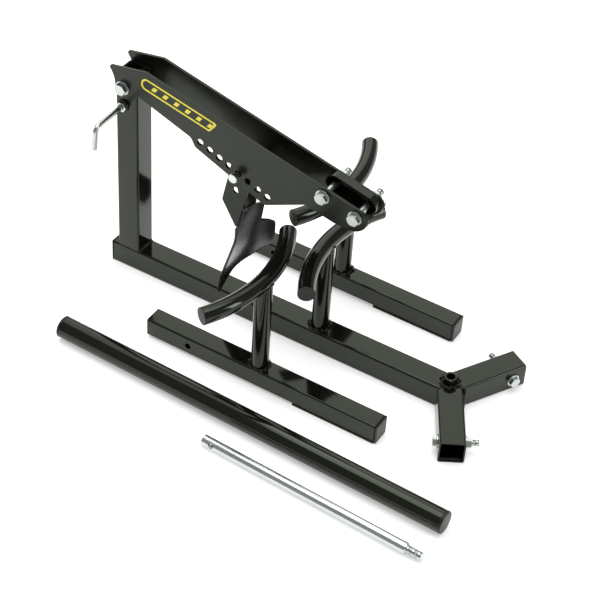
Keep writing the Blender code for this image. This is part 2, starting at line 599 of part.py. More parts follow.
# ---------------------------------------------------------------- spindle
spindle_frame = Matrix.Translation((*SPINDLE_LEFT, SPINDLE_R)) @ Matrix.Rotation(SPINDLE_YAW, 4, "Z") @ AXIS_X
SPINDLE_PROFILE = [(0, 0), (SPINDLE_R - 0.001, 0), (SPINDLE_R, 0.001), (SPINDLE_R, SPINDLE_LENGTH - 0.0015),
                   (SPINDLE_R - 0.0015, SPINDLE_LENGTH), (SPINDLE_THREAD_R, SPINDLE_LENGTH),
                   (SPINDLE_THREAD_R, SPINDLE_LENGTH + SPINDLE_THREAD - 0.0015),
                   (SPINDLE_THREAD_R - 0.0015, SPINDLE_LENGTH + SPINDLE_THREAD),
                   (0, SPINDLE_LENGTH + SPINDLE_THREAD)]


def turned(name, finish, profile, matrix, sides):
    """A profile of (radius, height) turned about the matrix's Z."""
    bm = bmesh.new()
    points = [bm.verts.new((radius, 0, height)) for radius, height in reversed(profile)]
    for a, b in zip(points, points[1:]):
        bm.edges.new((a, b))
    mesh = bpy.data.meshes.new(name)
    bm.to_mesh(mesh)
    bm.free()
    made = place(mesh, name, finish, matrix)
    turn = made.modifiers.new("turn", "SCREW")
    turn.steps = sides
    turn.render_steps = sides
    turn.use_merge_vertices = True
    turn.merge_threshold = 0.00001
    turn.use_normal_calculate = True
    return made


spindle = turned("spindle", BRIGHT_STEEL, SPINDLE_PROFILE, spindle_frame, 20)
cross = Vector((0, -math.sin(math.radians(35)), math.cos(math.radians(35))))
hole_at = spindle_frame @ Vector((0, 0, 0.022))
boolean(spindle, cutter_rod("spindle_hole", 0.005, hole_at - cross * 0.02, hole_at + cross * 0.02, 16))
body("spindle_lift", (*SPINDLE_LEFT, 0), [spindle])
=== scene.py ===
"""Bead breaker with a tyre-changing stand, laid out as a kit on a pale floor.

Metres, +Z up.  +X runs along the base rail from the post to the sockets, -Y is the front.
"""
import math

import bmesh
import bpy
from mathutils import Matrix, Vector


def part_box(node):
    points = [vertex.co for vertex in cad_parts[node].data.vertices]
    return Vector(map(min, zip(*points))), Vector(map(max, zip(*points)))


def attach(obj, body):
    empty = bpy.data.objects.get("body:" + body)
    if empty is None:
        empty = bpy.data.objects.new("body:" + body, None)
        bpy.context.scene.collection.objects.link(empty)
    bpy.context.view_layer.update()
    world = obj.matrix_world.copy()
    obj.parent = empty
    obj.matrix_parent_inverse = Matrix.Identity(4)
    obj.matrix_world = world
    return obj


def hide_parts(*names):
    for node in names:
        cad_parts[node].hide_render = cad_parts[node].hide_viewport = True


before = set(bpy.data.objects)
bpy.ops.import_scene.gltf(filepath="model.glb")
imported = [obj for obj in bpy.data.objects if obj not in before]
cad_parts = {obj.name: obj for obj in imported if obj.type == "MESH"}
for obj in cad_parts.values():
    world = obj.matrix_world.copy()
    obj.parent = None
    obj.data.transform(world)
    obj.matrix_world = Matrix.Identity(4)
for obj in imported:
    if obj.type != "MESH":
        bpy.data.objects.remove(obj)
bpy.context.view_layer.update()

# ----------------------------------------------------------------------
# Base rail.  50 mm square steel tube, sawn to a point where the two socket arms meet it, powder
# coated gloss black after welding.  Drawn tube has rounded corners, and the coat eases each sawn edge.


def linear(hex_colour):
    """An sRGB hex colour as linear RGBA."""
    channels = [int(hex_colour[i:i + 2], 16) / 255 for i in (1, 3, 5)]
    return (*[c / 12.92 if c <= 0.04045 else ((c + 0.055) / 1.055) ** 2.4 for c in channels], 1.0)


def add(tree, kind, inputs=None, **settings):
    """A node with its settings, whose inputs are values or other nodes' output sockets."""
    node = tree.nodes.new(kind)
    for name, value in settings.items():
        setattr(node, name, value)
    for key, value in (inputs or {}).items():
        if isinstance(value, bpy.types.NodeSocket):
            tree.links.new(value, node.inputs[key])
        else:
            node.inputs[key].default_value = value
    return node


def new_material(name, **values):
    """A material with one Principled shader and its constant inputs, with its tree and shader."""
    made = bpy.data.materials.new(name)
    made.use_nodes = True
    tree = made.node_tree
    shader = tree.nodes["Principled BSDF"]
    for socket, value in values.items():
        shader.inputs[socket.replace("_", " ")].default_value = value
    return made, tree, shader


def spread(tree, factor, low, high):
    """A value that follows a 0 to 1 pattern between two limits."""
    return add(tree, "ShaderNodeMapRange", {"Value": factor, "To Min": low, "To Max": high}).outputs["Result"]


def tint(tree, factor, first, second):
    """A colour that follows a 0 to 1 pattern between two hex colours."""
    mix = add(tree, "ShaderNodeMix", {"Factor": factor}, data_type="RGBA")
    mix.inputs["A"].default_value = linear(first)
    mix.inputs["B"].default_value = linear(second)
    return mix.outputs[2]


def bump(tree, shader, height, strength, depth):
    """Relief of a real depth in metres on a shader."""
    relief = add(tree, "ShaderNodeBump", {"Height": height, "Strength": strength, "Distance": depth})
    tree.links.new(relief.outputs["Normal"], shader.inputs["Normal"])


# Polyester powder coat, sprayed and baked: a thick glossy black skin whose reflections lean a little to
# green, whose surface rolls gently every 3 mm or so like orange peel and is less shiny in cloudy patches.
powder_coat, tree, shader = new_material("gloss_black_powder_coat", IOR=1.5, Specular_IOR_Level=0.42,
                                         Specular_Tint=linear("#F6FFEC"))
place = add(tree, "ShaderNodeTexCoord").outputs["Object"]
cloud = add(tree, "ShaderNodeTexNoise", {"Vector": place, "Scale": 14.0, "Detail": 3.0}).outputs["Fac"]
peel = add(tree, "ShaderNodeTexNoise", {"Vector": place, "Scale": 330.0, "Detail": 1.0}).outputs["Fac"]
tree.links.new(tint(tree, cloud, "#0B0C09", "#131410"), shader.inputs["Base Color"])
tree.links.new(spread(tree, cloud, 0.05, 0.12), shader.inputs["Roughness"])
bump(tree, shader, peel, 0.06, 0.0002)


def new_piece(name, mesh, material, smooth=35):
    """An object for a finished mesh, smooth shaded except across edges sharper than the angle."""
    mesh.name = name
    mesh.materials.clear()
    mesh.materials.append(material)
    mesh.shade_smooth()
    mesh.set_sharp_from_angle(angle=math.radians(smooth))
    piece = bpy.data.objects.new(name, mesh)
    bpy.context.scene.collection.objects.link(piece)
    return piece


def flat_normals(piece):
    """Shade flats flat and only the eased corners round."""
    weighted = piece.modifiers.new("flats", "WEIGHTED_NORMAL")
    weighted.keep_sharp = True


def eased(name, node, material, width):
    """The node's solid with its saw-cut and sheared edges rounded by a small width."""
    work = bmesh.new()
    work.from_mesh(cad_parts[node].data)
    bmesh.ops.remove_doubles(work, verts=work.verts, dist=1e-6)
    bmesh.ops.dissolve_limit(work, angle_limit=math.radians(0.5), verts=work.verts, edges=work.edges)
    mesh = bpy.data.meshes.new(name)
    work.to_mesh(mesh)
    work.free()
    piece = new_piece(name, mesh, material, 65)
    rounding = piece.modifiers.new("eased_edges", "BEVEL")
    rounding.width = width
    rounding.segments = 2
    rounding.limit_method = "ANGLE"
    rounding.angle_limit = math.radians(40)
    rounding.use_clamp_overlap = True
    flat_normals(piece)
    return piece


def fit(piece, body, slot, *replaced):
    """Fix a piece to its body and let it stand for the solids it covers; the finish it is given is not used.
    """
    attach(piece, body)
    if replaced:
        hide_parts(*replaced)
    return piece


TUBE_EASE = 0.0010
fit(eased("rail_tube", "base_rail", powder_coat, TUBE_EASE), "frame", "black_paint", "base_rail")

# ----------------------------------------------------------------------
# Rail end plug.  A moulded polyethylene plug hammered into the open end of the tube, with a flange
# that lands on the sawn face and a soft radius all round.

# Low-density polyethylene, injection moulded: a waxy black with a faint even grain under a millimetre
# across from the spark-eroded mould, and a soft wide highlight.
moulded_plastic, tree, shader = new_material("moulded_black_polyethylene", IOR=1.51, Specular_IOR_Level=0.42)
place = add(tree, "ShaderNodeTexCoord").outputs["Object"]
grain = add(tree, "ShaderNodeTexNoise", {"Vector": place, "Scale": 1300.0, "Detail": 1.0}).outputs["Fac"]
wax = add(tree, "ShaderNodeTexNoise", {"Vector": place, "Scale": 40.0, "Detail": 2.0}).outputs["Fac"]
tree.links.new(tint(tree, wax, "#0E0F0C", "#171815"), shader.inputs["Base Color"])
tree.links.new(spread(tree, wax, 0.36, 0.48), shader.inputs["Roughness"])
bump(tree, shader, grain, 0.3, 0.0001)

PLUG_EASE = 0.0009
rail_plug = eased("rail_plug", "rail_end_plug", moulded_plastic, PLUG_EASE)
fit(rail_plug, "frame", "black_plastic", "rail_end_plug")

# ----------------------------------------------------------------------
# Socket arms.  Two short lengths of the same tube, mitred and welded to the rail's point.  Each takes
# the inner end of a leg and is drilled near its mouth for a clamping bolt.
for side in ("front", "back"):
    arm = eased("socket_tube_" + side, "socket_arm_" + side, powder_coat, TUBE_EASE)
    fit(arm, "frame", "black_paint", "socket_arm_" + side)

# ----------------------------------------------------------------------
# Upright post.  The same 50 mm tube standing on the rail's end, open at the top, crossed by the
# lever's pivot bolt.
fit(eased("post_tube", "upright_post", powder_coat, TUBE_EASE), "frame", "black_paint", "upright_post")

# ----------------------------------------------------------------------
# Welds.  Hand-laid gas-shielded beads under the powder coat: a row of overlapping puddles, uneven in
# width, with a few droplets of spatter beside them.


def geometry_tree(name, **sizes):
    """A node tree with a geometry input and output and named number inputs, and its inputs' sockets."""
    tree = bpy.data.node_groups.new(name, "GeometryNodeTree")
    tree.interface.new_socket("Geometry", in_out="INPUT", socket_type="NodeSocketGeometry")
    tree.interface.new_socket("Geometry", in_out="OUTPUT", socket_type="NodeSocketGeometry")
    for label, value in sizes.items():
        whole = isinstance(value, int)
        made = tree.interface.new_socket(label.replace("_", " "), in_out="INPUT",
                                         socket_type="NodeSocketInt" if whole else "NodeSocketFloat")
        made.default_value = value
    return tree, tree.nodes.new("NodeGroupInput").outputs


def finish_tree(tree, geometry, material):
    """End a tree in real geometry that carries its material."""
    real = add(tree, "GeometryNodeRealizeInstances", {"Geometry": geometry})
    painted = add(tree, "GeometryNodeSetMaterial", {"Geometry": real.outputs[0], "Material": material})
    add(tree, "NodeGroupOutput", {"Geometry": painted.outputs[0]})


def grown(name, tree, base=None, **sizes):
    """The plain mesh that a tree makes on a curve, or on nothing, with these input sizes."""
    holder = bpy.data.objects.new(name + "_holder", base or bpy.data.meshes.new(name + "_seed"))
    bpy.context.scene.collection.objects.link(holder)
    growth = holder.modifiers.new("growth", "NODES")
    growth.node_group = tree
    for socket in tree.interface.items_tree:
        label = socket.name.replace(" ", "_")
        if socket.in_out == "INPUT" and label in sizes:
            growth[socket.identifier] = sizes[label]
    bpy.context.view_layer.update()
    ready = holder.evaluated_get(bpy.context.evaluated_depsgraph_get())
    mesh = bpy.data.meshes.new_from_object(ready)
    holder.modifiers.remove(growth)
    bpy.data.objects.remove(holder)
    return mesh


def path_of(points, closed=False):
    """A straight-sided curve through points."""
    curve = bpy.data.curves.new("path", "CURVE")
    curve.dimensions = "3D"
    spline = curve.splines.new("POLY")
    spline.points.add(len(points) - 1)
    for point, at in zip(spline.points, points):
        point.co = (*at, 1)
    spline.use_cyclic_u = closed
    return curve


def value_of(tree, first, operation, second=0.0):
    """The result of working on two numbers in a tree."""
    return add(tree, "ShaderNodeMath", {0: first, 1: second}, operation=operation).outputs[0]


bead_tree, given = geometry_tree("weld_bead", Width=0.006, Ripple=0.0026, Wander=0.0005, Swell=0.18, Seed=1)
walk = add(bead_tree, "GeometryNodeResampleCurve", {"Curve": given["Geometry"], "Length": given["Ripple"]},
           mode="LENGTH")
tangent = add(bead_tree, "GeometryNodeInputTangent")
facing = add(bead_tree, "FunctionNodeAlignEulerToVector", {"Vector": tangent.outputs[0]}, axis="X")
wobble = add(bead_tree, "FunctionNodeRandomValue", {
    "Min": (-1.0,) * 3, "Max": (1.0,) * 3, "Seed": given["Seed"]}, data_type="FLOAT_VECTOR")
astray = add(bead_tree, "ShaderNodeVectorMath", {0: wobble.outputs[0], "Scale": given["Wander"]},
             operation="SCALE")
moved = add(bead_tree, "GeometryNodeSetPosition", {"Geometry": walk.outputs[0], "Offset": astray.outputs[0]})
puddle = add(bead_tree, "GeometryNodeMeshUVSphere", {"Segments": 14, "Rings": 9, "Radius": 0.5})
least = value_of(bead_tree, 1.0, "SUBTRACT", given["Swell"])
most = value_of(bead_tree, 1.0, "ADD", given["Swell"])
swell = add(bead_tree, "FunctionNodeRandomValue", {2: least, 3: most, "Seed": given["Seed"]},
            data_type="FLOAT")
size = value_of(bead_tree, swell.outputs[1], "MULTIPLY", given["Width"])
shape = add(bead_tree, "ShaderNodeCombineXYZ", {"X": size, "Y": size, "Z": size})
squat = add(bead_tree, "ShaderNodeVectorMath", {0: shape.outputs[0], 1: (0.8, 1.0, 1.0)},
            operation="MULTIPLY")
row = add(bead_tree, "GeometryNodeInstanceOnPoints", {
    "Points": moved.outputs[0], "Instance": puddle.outputs[0], "Rotation": facing.outputs[0],
    "Scale": squat.outputs[0]})
smooth = add(bead_tree, "GeometryNodeSetShadeSmooth", {"Geometry": row.outputs[0]})
finish_tree(bead_tree, smooth.outputs[0], powder_coat)

welds = {}


def weld(body, points, width=0.006, closed=False, ripple=0.0026, rough=False):
    """Lay a bead along points, even or rough; beads on one body become one piece."""
    count = sum(len(beads) for beads in welds.values())
    bead = grown("bead", bead_tree, path_of(points, closed), Width=width, Ripple=ripple, Seed=count + 3,
                 Wander=0.0012 if rough else 0.0005, Swell=0.35 if rough else 0.18)
    welds.setdefault(body, []).append(bead)


def ring_points(centre, radius, height, steps=48):
    """Points round a level circle."""
    turns = [2 * math.pi * i / steps for i in range(steps)]
    return [(centre[0] + radius * math.cos(t), centre[1] + radius * math.sin(t), height) for t in turns]


def middle(node):
    """The centre of a node's box."""
    low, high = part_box(node)
    return (low + high) / 2


rail_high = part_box("base_rail")[1]
post_low, post_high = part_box("upright_post")
TUBE = rail_high.z
HALF = TUBE / 2

# The post is welded to the rail on both sides and on the face towards the sockets.
left, right, rail_top = post_low.x + 0.004, post_high.x + 0.001, TUBE + 0.001
edge = HALF - 0.001
weld("frame", [(left, -edge, rail_top), (right - 0.003, -edge, rail_top)], 0.0035)
weld("frame", [(right, 0.005 - HALF, rail_top), (right, HALF - 0.005, rail_top)], 0.007)
weld("frame", [(left, edge, rail_top), (right - 0.003, edge, rail_top)], 0.0035)

# The mitres are welded down their outsides and along the top.
SOCKET_ANGLE = math.radians(60)
corner_x = 0.004 - HALF / math.tan(SOCKET_ANGLE)
for sign in (-1, 1):
    corner = Vector((corner_x, sign * HALF, 0))
    upright = [corner + Vector((0, 0, 0.004)), corner + Vector((0, 0, TUBE - 0.003))]
    weld("frame", upright, 0.008, ripple=0.0034)
    weld("frame", [Vector((0.004, 0, TUBE)), corner + Vector((0, 0, TUBE))], 0.004)
inner_x = 0.004 + HALF / math.sin(SOCKET_ANGLE)
weld("frame", [(0.006, 0, TUBE), (inner_x, 0, TUBE)], 0.004)
weld("frame", [(inner_x, 0, 0.004), (inner_x, 0, TUBE - 0.003)], 0.008, ripple=0.0034)

# ----------------------------------------------------------------------
# Spindle nut.  A heavy hexagon nut welded over the junction with two laps of bead round its foot and
# coated with the rest.
nut_tree, given = geometry_tree("hexagon_nut", Across_flats=0.024, Height=0.016, Bore=0.008)

CHAMFER = math.radians(60)      # from the nut's axis


def chamfered_hexagon(tree, across, height, both):
    """A hexagon whose corners are turned off at 30 degrees on its top, or on both faces."""
    radius = value_of(tree, across, "MULTIPLY", 1 / math.sqrt(3))
    blank = add(tree, "GeometryNodeMeshCylinder", {"Vertices": 6, "Radius": radius, "Depth": height})
    part = blank.outputs[0]
    spare = 0.001
    narrow = value_of(tree, value_of(tree, across, "MULTIPLY", 0.485), "SUBTRACT", spare * math.tan(CHAMFER))
    tall = value_of(tree, height, "ADD", 2 * spare)
    wide = value_of(tree, narrow, "ADD", value_of(tree, tall, "MULTIPLY", math.tan(CHAMFER)))
    drop = add(tree, "ShaderNodeCombineXYZ", {"Z": value_of(tree, tall, "MULTIPLY", -0.5)}).outputs[0]
    for top, bottom in ((narrow, wide), (wide, narrow))[:2 if both else 1]:
        cone = add(tree, "GeometryNodeMeshCone", {
            "Vertices": 60, "Radius Top": top, "Radius Bottom": bottom, "Depth": tall})
        lowered = add(tree, "GeometryNodeTransform", {"Geometry": cone.outputs[0], "Translation": drop})
        common = add(tree, "GeometryNodeMeshBoolean", operation="INTERSECT")
        tree.links.new(part, common.inputs["Mesh 2"])
        tree.links.new(lowered.outputs[0], common.inputs["Mesh 2"])
        part = common.outputs[0]
    return part


body = chamfered_hexagon(nut_tree, given["Across flats"], given["Height"], True)
drill = add(nut_tree, "GeometryNodeMeshCylinder", {"Vertices": 40, "Radius": given["Bore"], "Depth": 0.1})
bored = add(nut_tree, "GeometryNodeMeshBoolean", {"Mesh 1": body, "Mesh 2": drill.outputs[0]},
            operation="DIFFERENCE")
# A countersink 1.2 mm deep leads into the bore from its outer face.
SINK = 0.0012
mouth = value_of(nut_tree, given["Bore"], "ADD", 2 * SINK)
throat = value_of(nut_tree, given["Bore"], "MULTIPLY", 0.9)
face = value_of(nut_tree, given["Height"], "MULTIPLY", 0.5)
sink_at = add(nut_tree, "ShaderNodeCombineXYZ", {"Z": value_of(nut_tree, face, "SUBTRACT", SINK)})
sink = add(nut_tree, "GeometryNodeMeshCone", {
    "Vertices": 40, "Radius Top": mouth, "Radius Bottom": throat, "Depth": 2 * SINK})
lifted = add(nut_tree, "GeometryNodeTransform", {
    "Geometry": sink.outputs[0], "Translation": sink_at.outputs[0]})
open_nut = add(nut_tree, "GeometryNodeMeshBoolean", {"Mesh 1": bored.outputs[0], "Mesh 2": lifted.outputs[0]},
               operation="DIFFERENCE")
finish_tree(nut_tree, open_nut.outputs[0], powder_coat)


def turn_to(direction):
    """A turn that takes +Z to a direction."""
    return Vector(direction).to_track_quat("Z", "Y").to_matrix().to_4x4()


def along(point, direction):
    """A place at a point whose +Z runs along a direction."""
    return Matrix.Translation(point) @ turn_to(direction)


def nut(name, node, direction, across, height, bore, material):
    """A nut in the place of a node, on an axis along the direction."""
    mesh = grown(name, nut_tree, Across_flats=across, Height=height, Bore=bore)
    mesh.transform(along(middle(node), direction))
    return new_piece(name, mesh, material, 25)


NUT_LAP = 0.0150        # radius of the bead's first lap
COLLAR_LAP = 0.0182     # radius of the lumps laid over it
NUT_ACROSS = 0.024
NUT_BORE = 0.0081
nut_low, nut_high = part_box("spindle_nut")
junction_nut = nut("junction_nut", "spindle_nut", (0, 0, 1), NUT_ACROSS, nut_high.z - nut_low.z, NUT_BORE,
                   powder_coat)
fit(junction_nut, "frame", "black_paint", "spindle_nut")
weld("frame", ring_points((0, 0), NUT_LAP, TUBE + 0.001), 0.0060, True, 0.0036, True)
for first in (15, 70, 125, 180, 235, 290):
    lump = ring_points((0, 0), COLLAR_LAP, TUBE + 0.0005, 72)[first // 5:first // 5 + 8]
    weld("frame", lump, 0.0088, False, 0.0056, True)

# ----------------------------------------------------------------------
# Socket bolts.  M12 hexagon bolts with washers and nuts through each socket arm, bright zinc plated,
# with their threaded tails left long.

# Zinc plate, barrel plated and clear passivated: a bright silver that leans blue in places and straw in
# others, satin, with a faint frost of crystals about a millimetre across.
zinc_plate, tree, shader = new_material("clear_zinc_plate", Metallic=1.0)
place = add(tree, "ShaderNodeTexCoord").outputs["Object"]
film = add(tree, "ShaderNodeTexNoise", {"Vector": place, "Scale": 90.0, "Detail": 2.0}).outputs["Fac"]
frost = add(tree, "ShaderNodeTexVoronoi", {"Vector": place, "Scale": 900.0}).outputs["Distance"]
tree.links.new(tint(tree, film, "#B4BDC1", "#D0D0C8"), shader.inputs["Base Color"])
tree.links.new(spread(tree, frost, 0.16, 0.34), shader.inputs["Roughness"])
bump(tree, shader, frost, 0.15, 0.0001)


def column(tree, radius, length, top):
    """A round bar whose upper end is at a height."""
    bar = add(tree, "GeometryNodeMeshCylinder", {"Vertices": 40, "Radius": radius, "Depth": length})
    half_length = value_of(tree, length, "MULTIPLY", 0.5)
    drop = add(tree, "ShaderNodeCombineXYZ", {"Z": value_of(tree, top, "SUBTRACT", half_length)})
    hung = add(tree, "GeometryNodeTransform", {"Geometry": bar.outputs[0], "Translation": drop.outputs[0]})
    return hung.outputs[0]


def thread(tree, radius, length, top, pitch):
    """A screw thread: a core with a ridge wound on it from its lower end up to a height."""
    core = column(tree, value_of(tree, radius, "MULTIPLY", 0.9), length, top)
    turns = value_of(tree, length, "DIVIDE", pitch)
    crest = value_of(tree, radius, "MULTIPLY", 0.94)
    helix = add(tree, "GeometryNodeCurveSpiral", {
        "Resolution": 28, "Rotations": turns, "Start Radius": crest, "End Radius": crest, "Height": length})
    half_flank = value_of(tree, pitch, "MULTIPLY", 0.4)
    ridge = add(tree, "GeometryNodeCurvePrimitiveCircle", {"Resolution": 4, "Radius": half_flank})
    wound = add(tree, "GeometryNodeCurveToMesh", {
        "Curve": helix.outputs[0], "Profile Curve": ridge.outputs[0], "Fill Caps": True})
    drop = add(tree, "ShaderNodeCombineXYZ", {"Z": value_of(tree, top, "SUBTRACT", length)})
    set_down = add(tree, "GeometryNodeTransform", {
        "Geometry": wound.outputs[0], "Translation": drop.outputs[0]})
    both = add(tree, "GeometryNodeJoinGeometry")
    for part in (core, set_down.outputs[0]):
        tree.links.new(part, both.inputs[0])
    return both.outputs[0]


bolt_tree, given = geometry_tree("hexagon_bolt", Across_flats=0.022, Head=0.009, Shank_radius=0.007,
                                 Plain=0.05, Threaded=0.03, Pitch=0.002)
head = chamfered_hexagon(bolt_tree, given["Across flats"], given["Head"], False)
under_head = value_of(bolt_tree, given["Head"], "MULTIPLY", -0.5)
shank = column(bolt_tree, given["Shank radius"], given["Plain"], under_head)
thread_top = value_of(bolt_tree, under_head, "SUBTRACT", given["Plain"])
tail = thread(bolt_tree, given["Shank radius"], given["Threaded"], thread_top, given["Pitch"])
whole = add(bolt_tree, "GeometryNodeJoinGeometry")
for part in (head, shank, tail):
    bolt_tree.links.new(part, whole.inputs[0])
finish_tree(bolt_tree, whole.outputs[0], zinc_plate)


def bolt(name, under, direction, across, head_height, radius, plain, threaded, pitch):
    """A hexagon bolt whose head bears at a point and whose shank runs along the direction."""
    mesh = grown(name, bolt_tree, Across_flats=across, Head=head_height, Shank_radius=radius, Plain=plain,
                 Threaded=threaded, Pitch=pitch)
    away = Vector(direction).normalized()
    mesh.transform(along(Vector(under) - away * head_height / 2, -away))
    return new_piece(name, mesh, zinc_plate, 28)


def flat_piece(name, loops, thickness, ease, place, material):
    """Sheet cut to an outline with holes, its edges eased, centred on the XY plane of a place."""
    curve = bpy.data.curves.new(name, "CURVE")
    curve.dimensions = "2D"
    curve.fill_mode = "BOTH"
    curve.extrude = thickness / 2 - ease
    curve.bevel_depth = ease
    curve.offset = -ease
    curve.bevel_resolution = 1
    for loop in loops:
        spline = curve.splines.new("POLY")
        spline.points.add(len(loop) - 1)
        for point, at in zip(spline.points, loop):
            point.co = (at[0], at[1], 0, 1)
        spline.use_cyclic_u = True
    guide = bpy.data.objects.new(name + "_guide", curve)
    bpy.context.scene.collection.objects.link(guide)
    bpy.context.view_layer.update()
    mesh = bpy.data.meshes.new_from_object(guide.evaluated_get(bpy.context.evaluated_depsgraph_get()))
    bpy.data.objects.remove(guide)
    work = bmesh.new()
    work.from_mesh(mesh)
    bmesh.ops.remove_doubles(work, verts=work.verts, dist=1e-6)
    bmesh.ops.recalc_face_normals(work, faces=work.faces)
    work.to_mesh(mesh)
    work.free()
    mesh.transform(place)
    piece = new_piece(name, mesh, material, 50)
    flat_normals(piece)
    return piece


def circle(x, y, radius, steps=48):
    """Points round a circle."""
    return [(x + radius * math.cos(2 * math.pi * i / steps), y + radius * math.sin(2 * math.pi * i / steps))
            for i in range(steps)]


GAP = 0.0003            # between touching parts
WASHER = 0.0025         # thickness of every washer
WASHER_EASE = 0.0003


def washer(name, node, direction, outer, inner):
    """A plain washer in the place of a node."""
    loops = [circle(0, 0, outer), circle(0, 0, inner)]
    return flat_piece(name, loops, WASHER, WASHER_EASE, along(middle(node), direction), zinc_plate)


SOCKET_WASHER = (0.013, 0.0066)
SOCKET_NUT = (0.019, 0.0095, 0.0062, zinc_plate)        # across flats, height, bore
SOCKET_BOLT = {"across": 0.019, "head_height": 0.0075, "radius": 0.006, "plain": 0.053, "threaded": 0.027,
               "pitch": 0.00175}
for side, turn in (("front", math.radians(30)), ("back", math.radians(150))):
    away = Vector((math.cos(turn), math.sin(turn), 0))
    for end in ("head", "nut"):
        node = "socket_%s_washer_%s" % (end, side)
        fit(washer("socket_washer_%s_%s" % (end, side), node, away, *SOCKET_WASHER), "frame", "zinc", node)
    under = middle("socket_head_washer_" + side) - away * (WASHER / 2 + GAP)
    fit(bolt("clamping_bolt_" + side, under, away, **SOCKET_BOLT), "frame", "zinc", "socket_bolt_" + side)
    node = "socket_nut_" + side
    fit(nut("clamping_nut_" + side, node, away, *SOCKET_NUT), "frame", "zinc", node)

# ----------------------------------------------------------------------
# Saddles.  Round tube rolled to the curve of a wheel rim and coped on to a short round post; plastic
# plugs close the tube's ends.  One stands on the rail and one on each leg.
SADDLE_R = 0.287
SADDLE_HALF = math.radians(30)
SADDLE_TUBE = 0.01685
SADDLE_POST = 0.0172
RAIL_SKEW = math.radians(1.5)

SADDLE_SIZES = {"Bend_radius": SADDLE_R, "Sweep": 2 * SADDLE_HALF, "Tube_radius": SADDLE_TUBE}
rolled_tree, given = geometry_tree("rolled_tube", **SADDLE_SIZES)
start = value_of(rolled_tree, given["Sweep"], "MULTIPLY", -0.5)
bend = add(rolled_tree, "GeometryNodeCurveArc", {
    "Resolution": 65, "Radius": given["Bend radius"], "Start Angle": start, "Sweep Angle": given["Sweep"]},
    mode="RADIUS")
section = add(rolled_tree, "GeometryNodeCurvePrimitiveCircle", {
    "Resolution": 48, "Radius": given["Tube radius"]})
rolled = add(rolled_tree, "GeometryNodeCurveToMesh", {
    "Curve": bend.outputs[0], "Profile Curve": section.outputs[0], "Fill Caps": True})
finish_tree(rolled_tree, rolled.outputs[0], powder_coat)


def turned(name, profile, place, material, smooth=35, steps=56):
    """A profile of (radius, height), from the axis on top to the axis below, turned about Z."""
    work = bmesh.new()
    points = [work.verts.new((radius, 0, height)) for radius, height in profile]
    edges = [work.edges.new(pair) for pair in zip(points, points[1:])]
    bmesh.ops.spin(work, geom=points + edges, axis=(0, 0, 1), cent=(0, 0, 0), steps=steps, angle=2 * math.pi)
    bmesh.ops.remove_doubles(work, verts=work.verts, dist=1e-6)
    bmesh.ops.recalc_face_normals(work, faces=work.faces)
    mesh = bpy.data.meshes.new(name)
    work.to_mesh(mesh)
    work.free()
    mesh.transform(place)
    return new_piece(name, mesh, material, smooth)


def cut(piece, tool):
    """Take a tool's shape out of a piece for good."""
    step = piece.modifiers.new("cut", "BOOLEAN")
    step.solver = "EXACT"
    step.operation = "DIFFERENCE"
    step.object = tool
    bpy.context.view_layer.update()
    mesh = bpy.data.meshes.new_from_object(piece.evaluated_get(bpy.context.evaluated_depsgraph_get()))
    piece.modifiers.remove(step)
    piece.data = mesh
    mesh.shade_smooth()
    mesh.set_sharp_from_angle(angle=math.radians(35))
    return piece


def plug_profile(radius):
    """A low domed plug from its crown down to its seat."""
    tilts = [math.radians(angle) for angle in range(0, 70, 10)]
    dome = [(radius * math.sin(tilt), 0.0021 + 0.0009 * math.cos(tilt)) for tilt in tilts]
    rim = [(radius - 0.0002, 0.0018), (radius, 0.0012), (radius, 0.0001), (radius - 0.0004, 0.0)]
    return dome + rim + [(0, 0.0)]


PLUG_SEAT = 0.0015      # from a plug's middle back to the tube's end


def saddle(prefix, body, heading, turn):
    """A saddle on its post, hollow towards the heading (+1 or -1 along a leg turned about Z)."""
    apex = middle(prefix + "_saddle_post")
    apex.z = middle(prefix + "_saddle_tube").z
    spin = Matrix.Translation(apex) @ Matrix.Rotation(turn, 4, "Z")
    bent = grown(prefix + "_saddle", rolled_tree, **SADDLE_SIZES)
    half_turn = Matrix.Rotation(math.pi if heading > 0 else 0, 4, "Z")
    bent.transform(spin @ half_turn @ Matrix.Translation((-SADDLE_R, 0, 0)))
    tube = new_piece(prefix + "_saddle_rolled_tube", bent, powder_coat, 40)
    fit(tube, body, "black_paint", prefix + "_saddle_tube")
    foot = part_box(prefix + "_saddle_post")[0].z
    height = apex.z - foot
    post = turned(prefix + "_saddle_stem", [(0, height), (SADDLE_POST, height), (SADDLE_POST, 0), (0, 0)],
                  Matrix.Translation((apex.x, apex.y, foot)), powder_coat)
    fit(cut(post, tube), body, "black_paint", prefix + "_saddle_post")
    for which, sign in (("front", -1), ("back", 1)):
        node = "%s_saddle_plug_%s" % (prefix, which)
        end = Vector((heading * math.sin(SADDLE_HALF), sign * math.cos(SADDLE_HALF), 0))
        out = Matrix.Rotation(turn, 3, "Z") @ end
        seat = middle(node) - out * PLUG_SEAT
        plug = turned("%s_saddle_end_%s" % (prefix, which), plug_profile(SADDLE_TUBE), along(seat, out),
                      moulded_plastic, 50)
        fit(plug, body, "black_plastic", node)
    weld(body, ring_points(apex, SADDLE_POST + 0.0012, foot + 0.001), 0.0055, True, 0.0034, True)
    ring = ring_points(apex, SADDLE_POST + 0.0030, foot + 0.0005)
    for first in (3, 12, 23, 31, 39):
        weld(body, ring[first:first + 6], 0.0078, False, 0.0050, True)
    seam = []
    for step in range(48):
        angle = 2 * math.pi * step / 48
        across = min(SADDLE_POST * abs(math.cos(angle - turn)), SADDLE_TUBE)
        drop = math.sqrt(SADDLE_TUBE ** 2 - across ** 2)
        on_post = Vector((SADDLE_POST * math.cos(angle), SADDLE_POST * math.sin(angle), -drop))
        seam.append(apex + on_post)
    weld(body, seam, 0.0045, True)


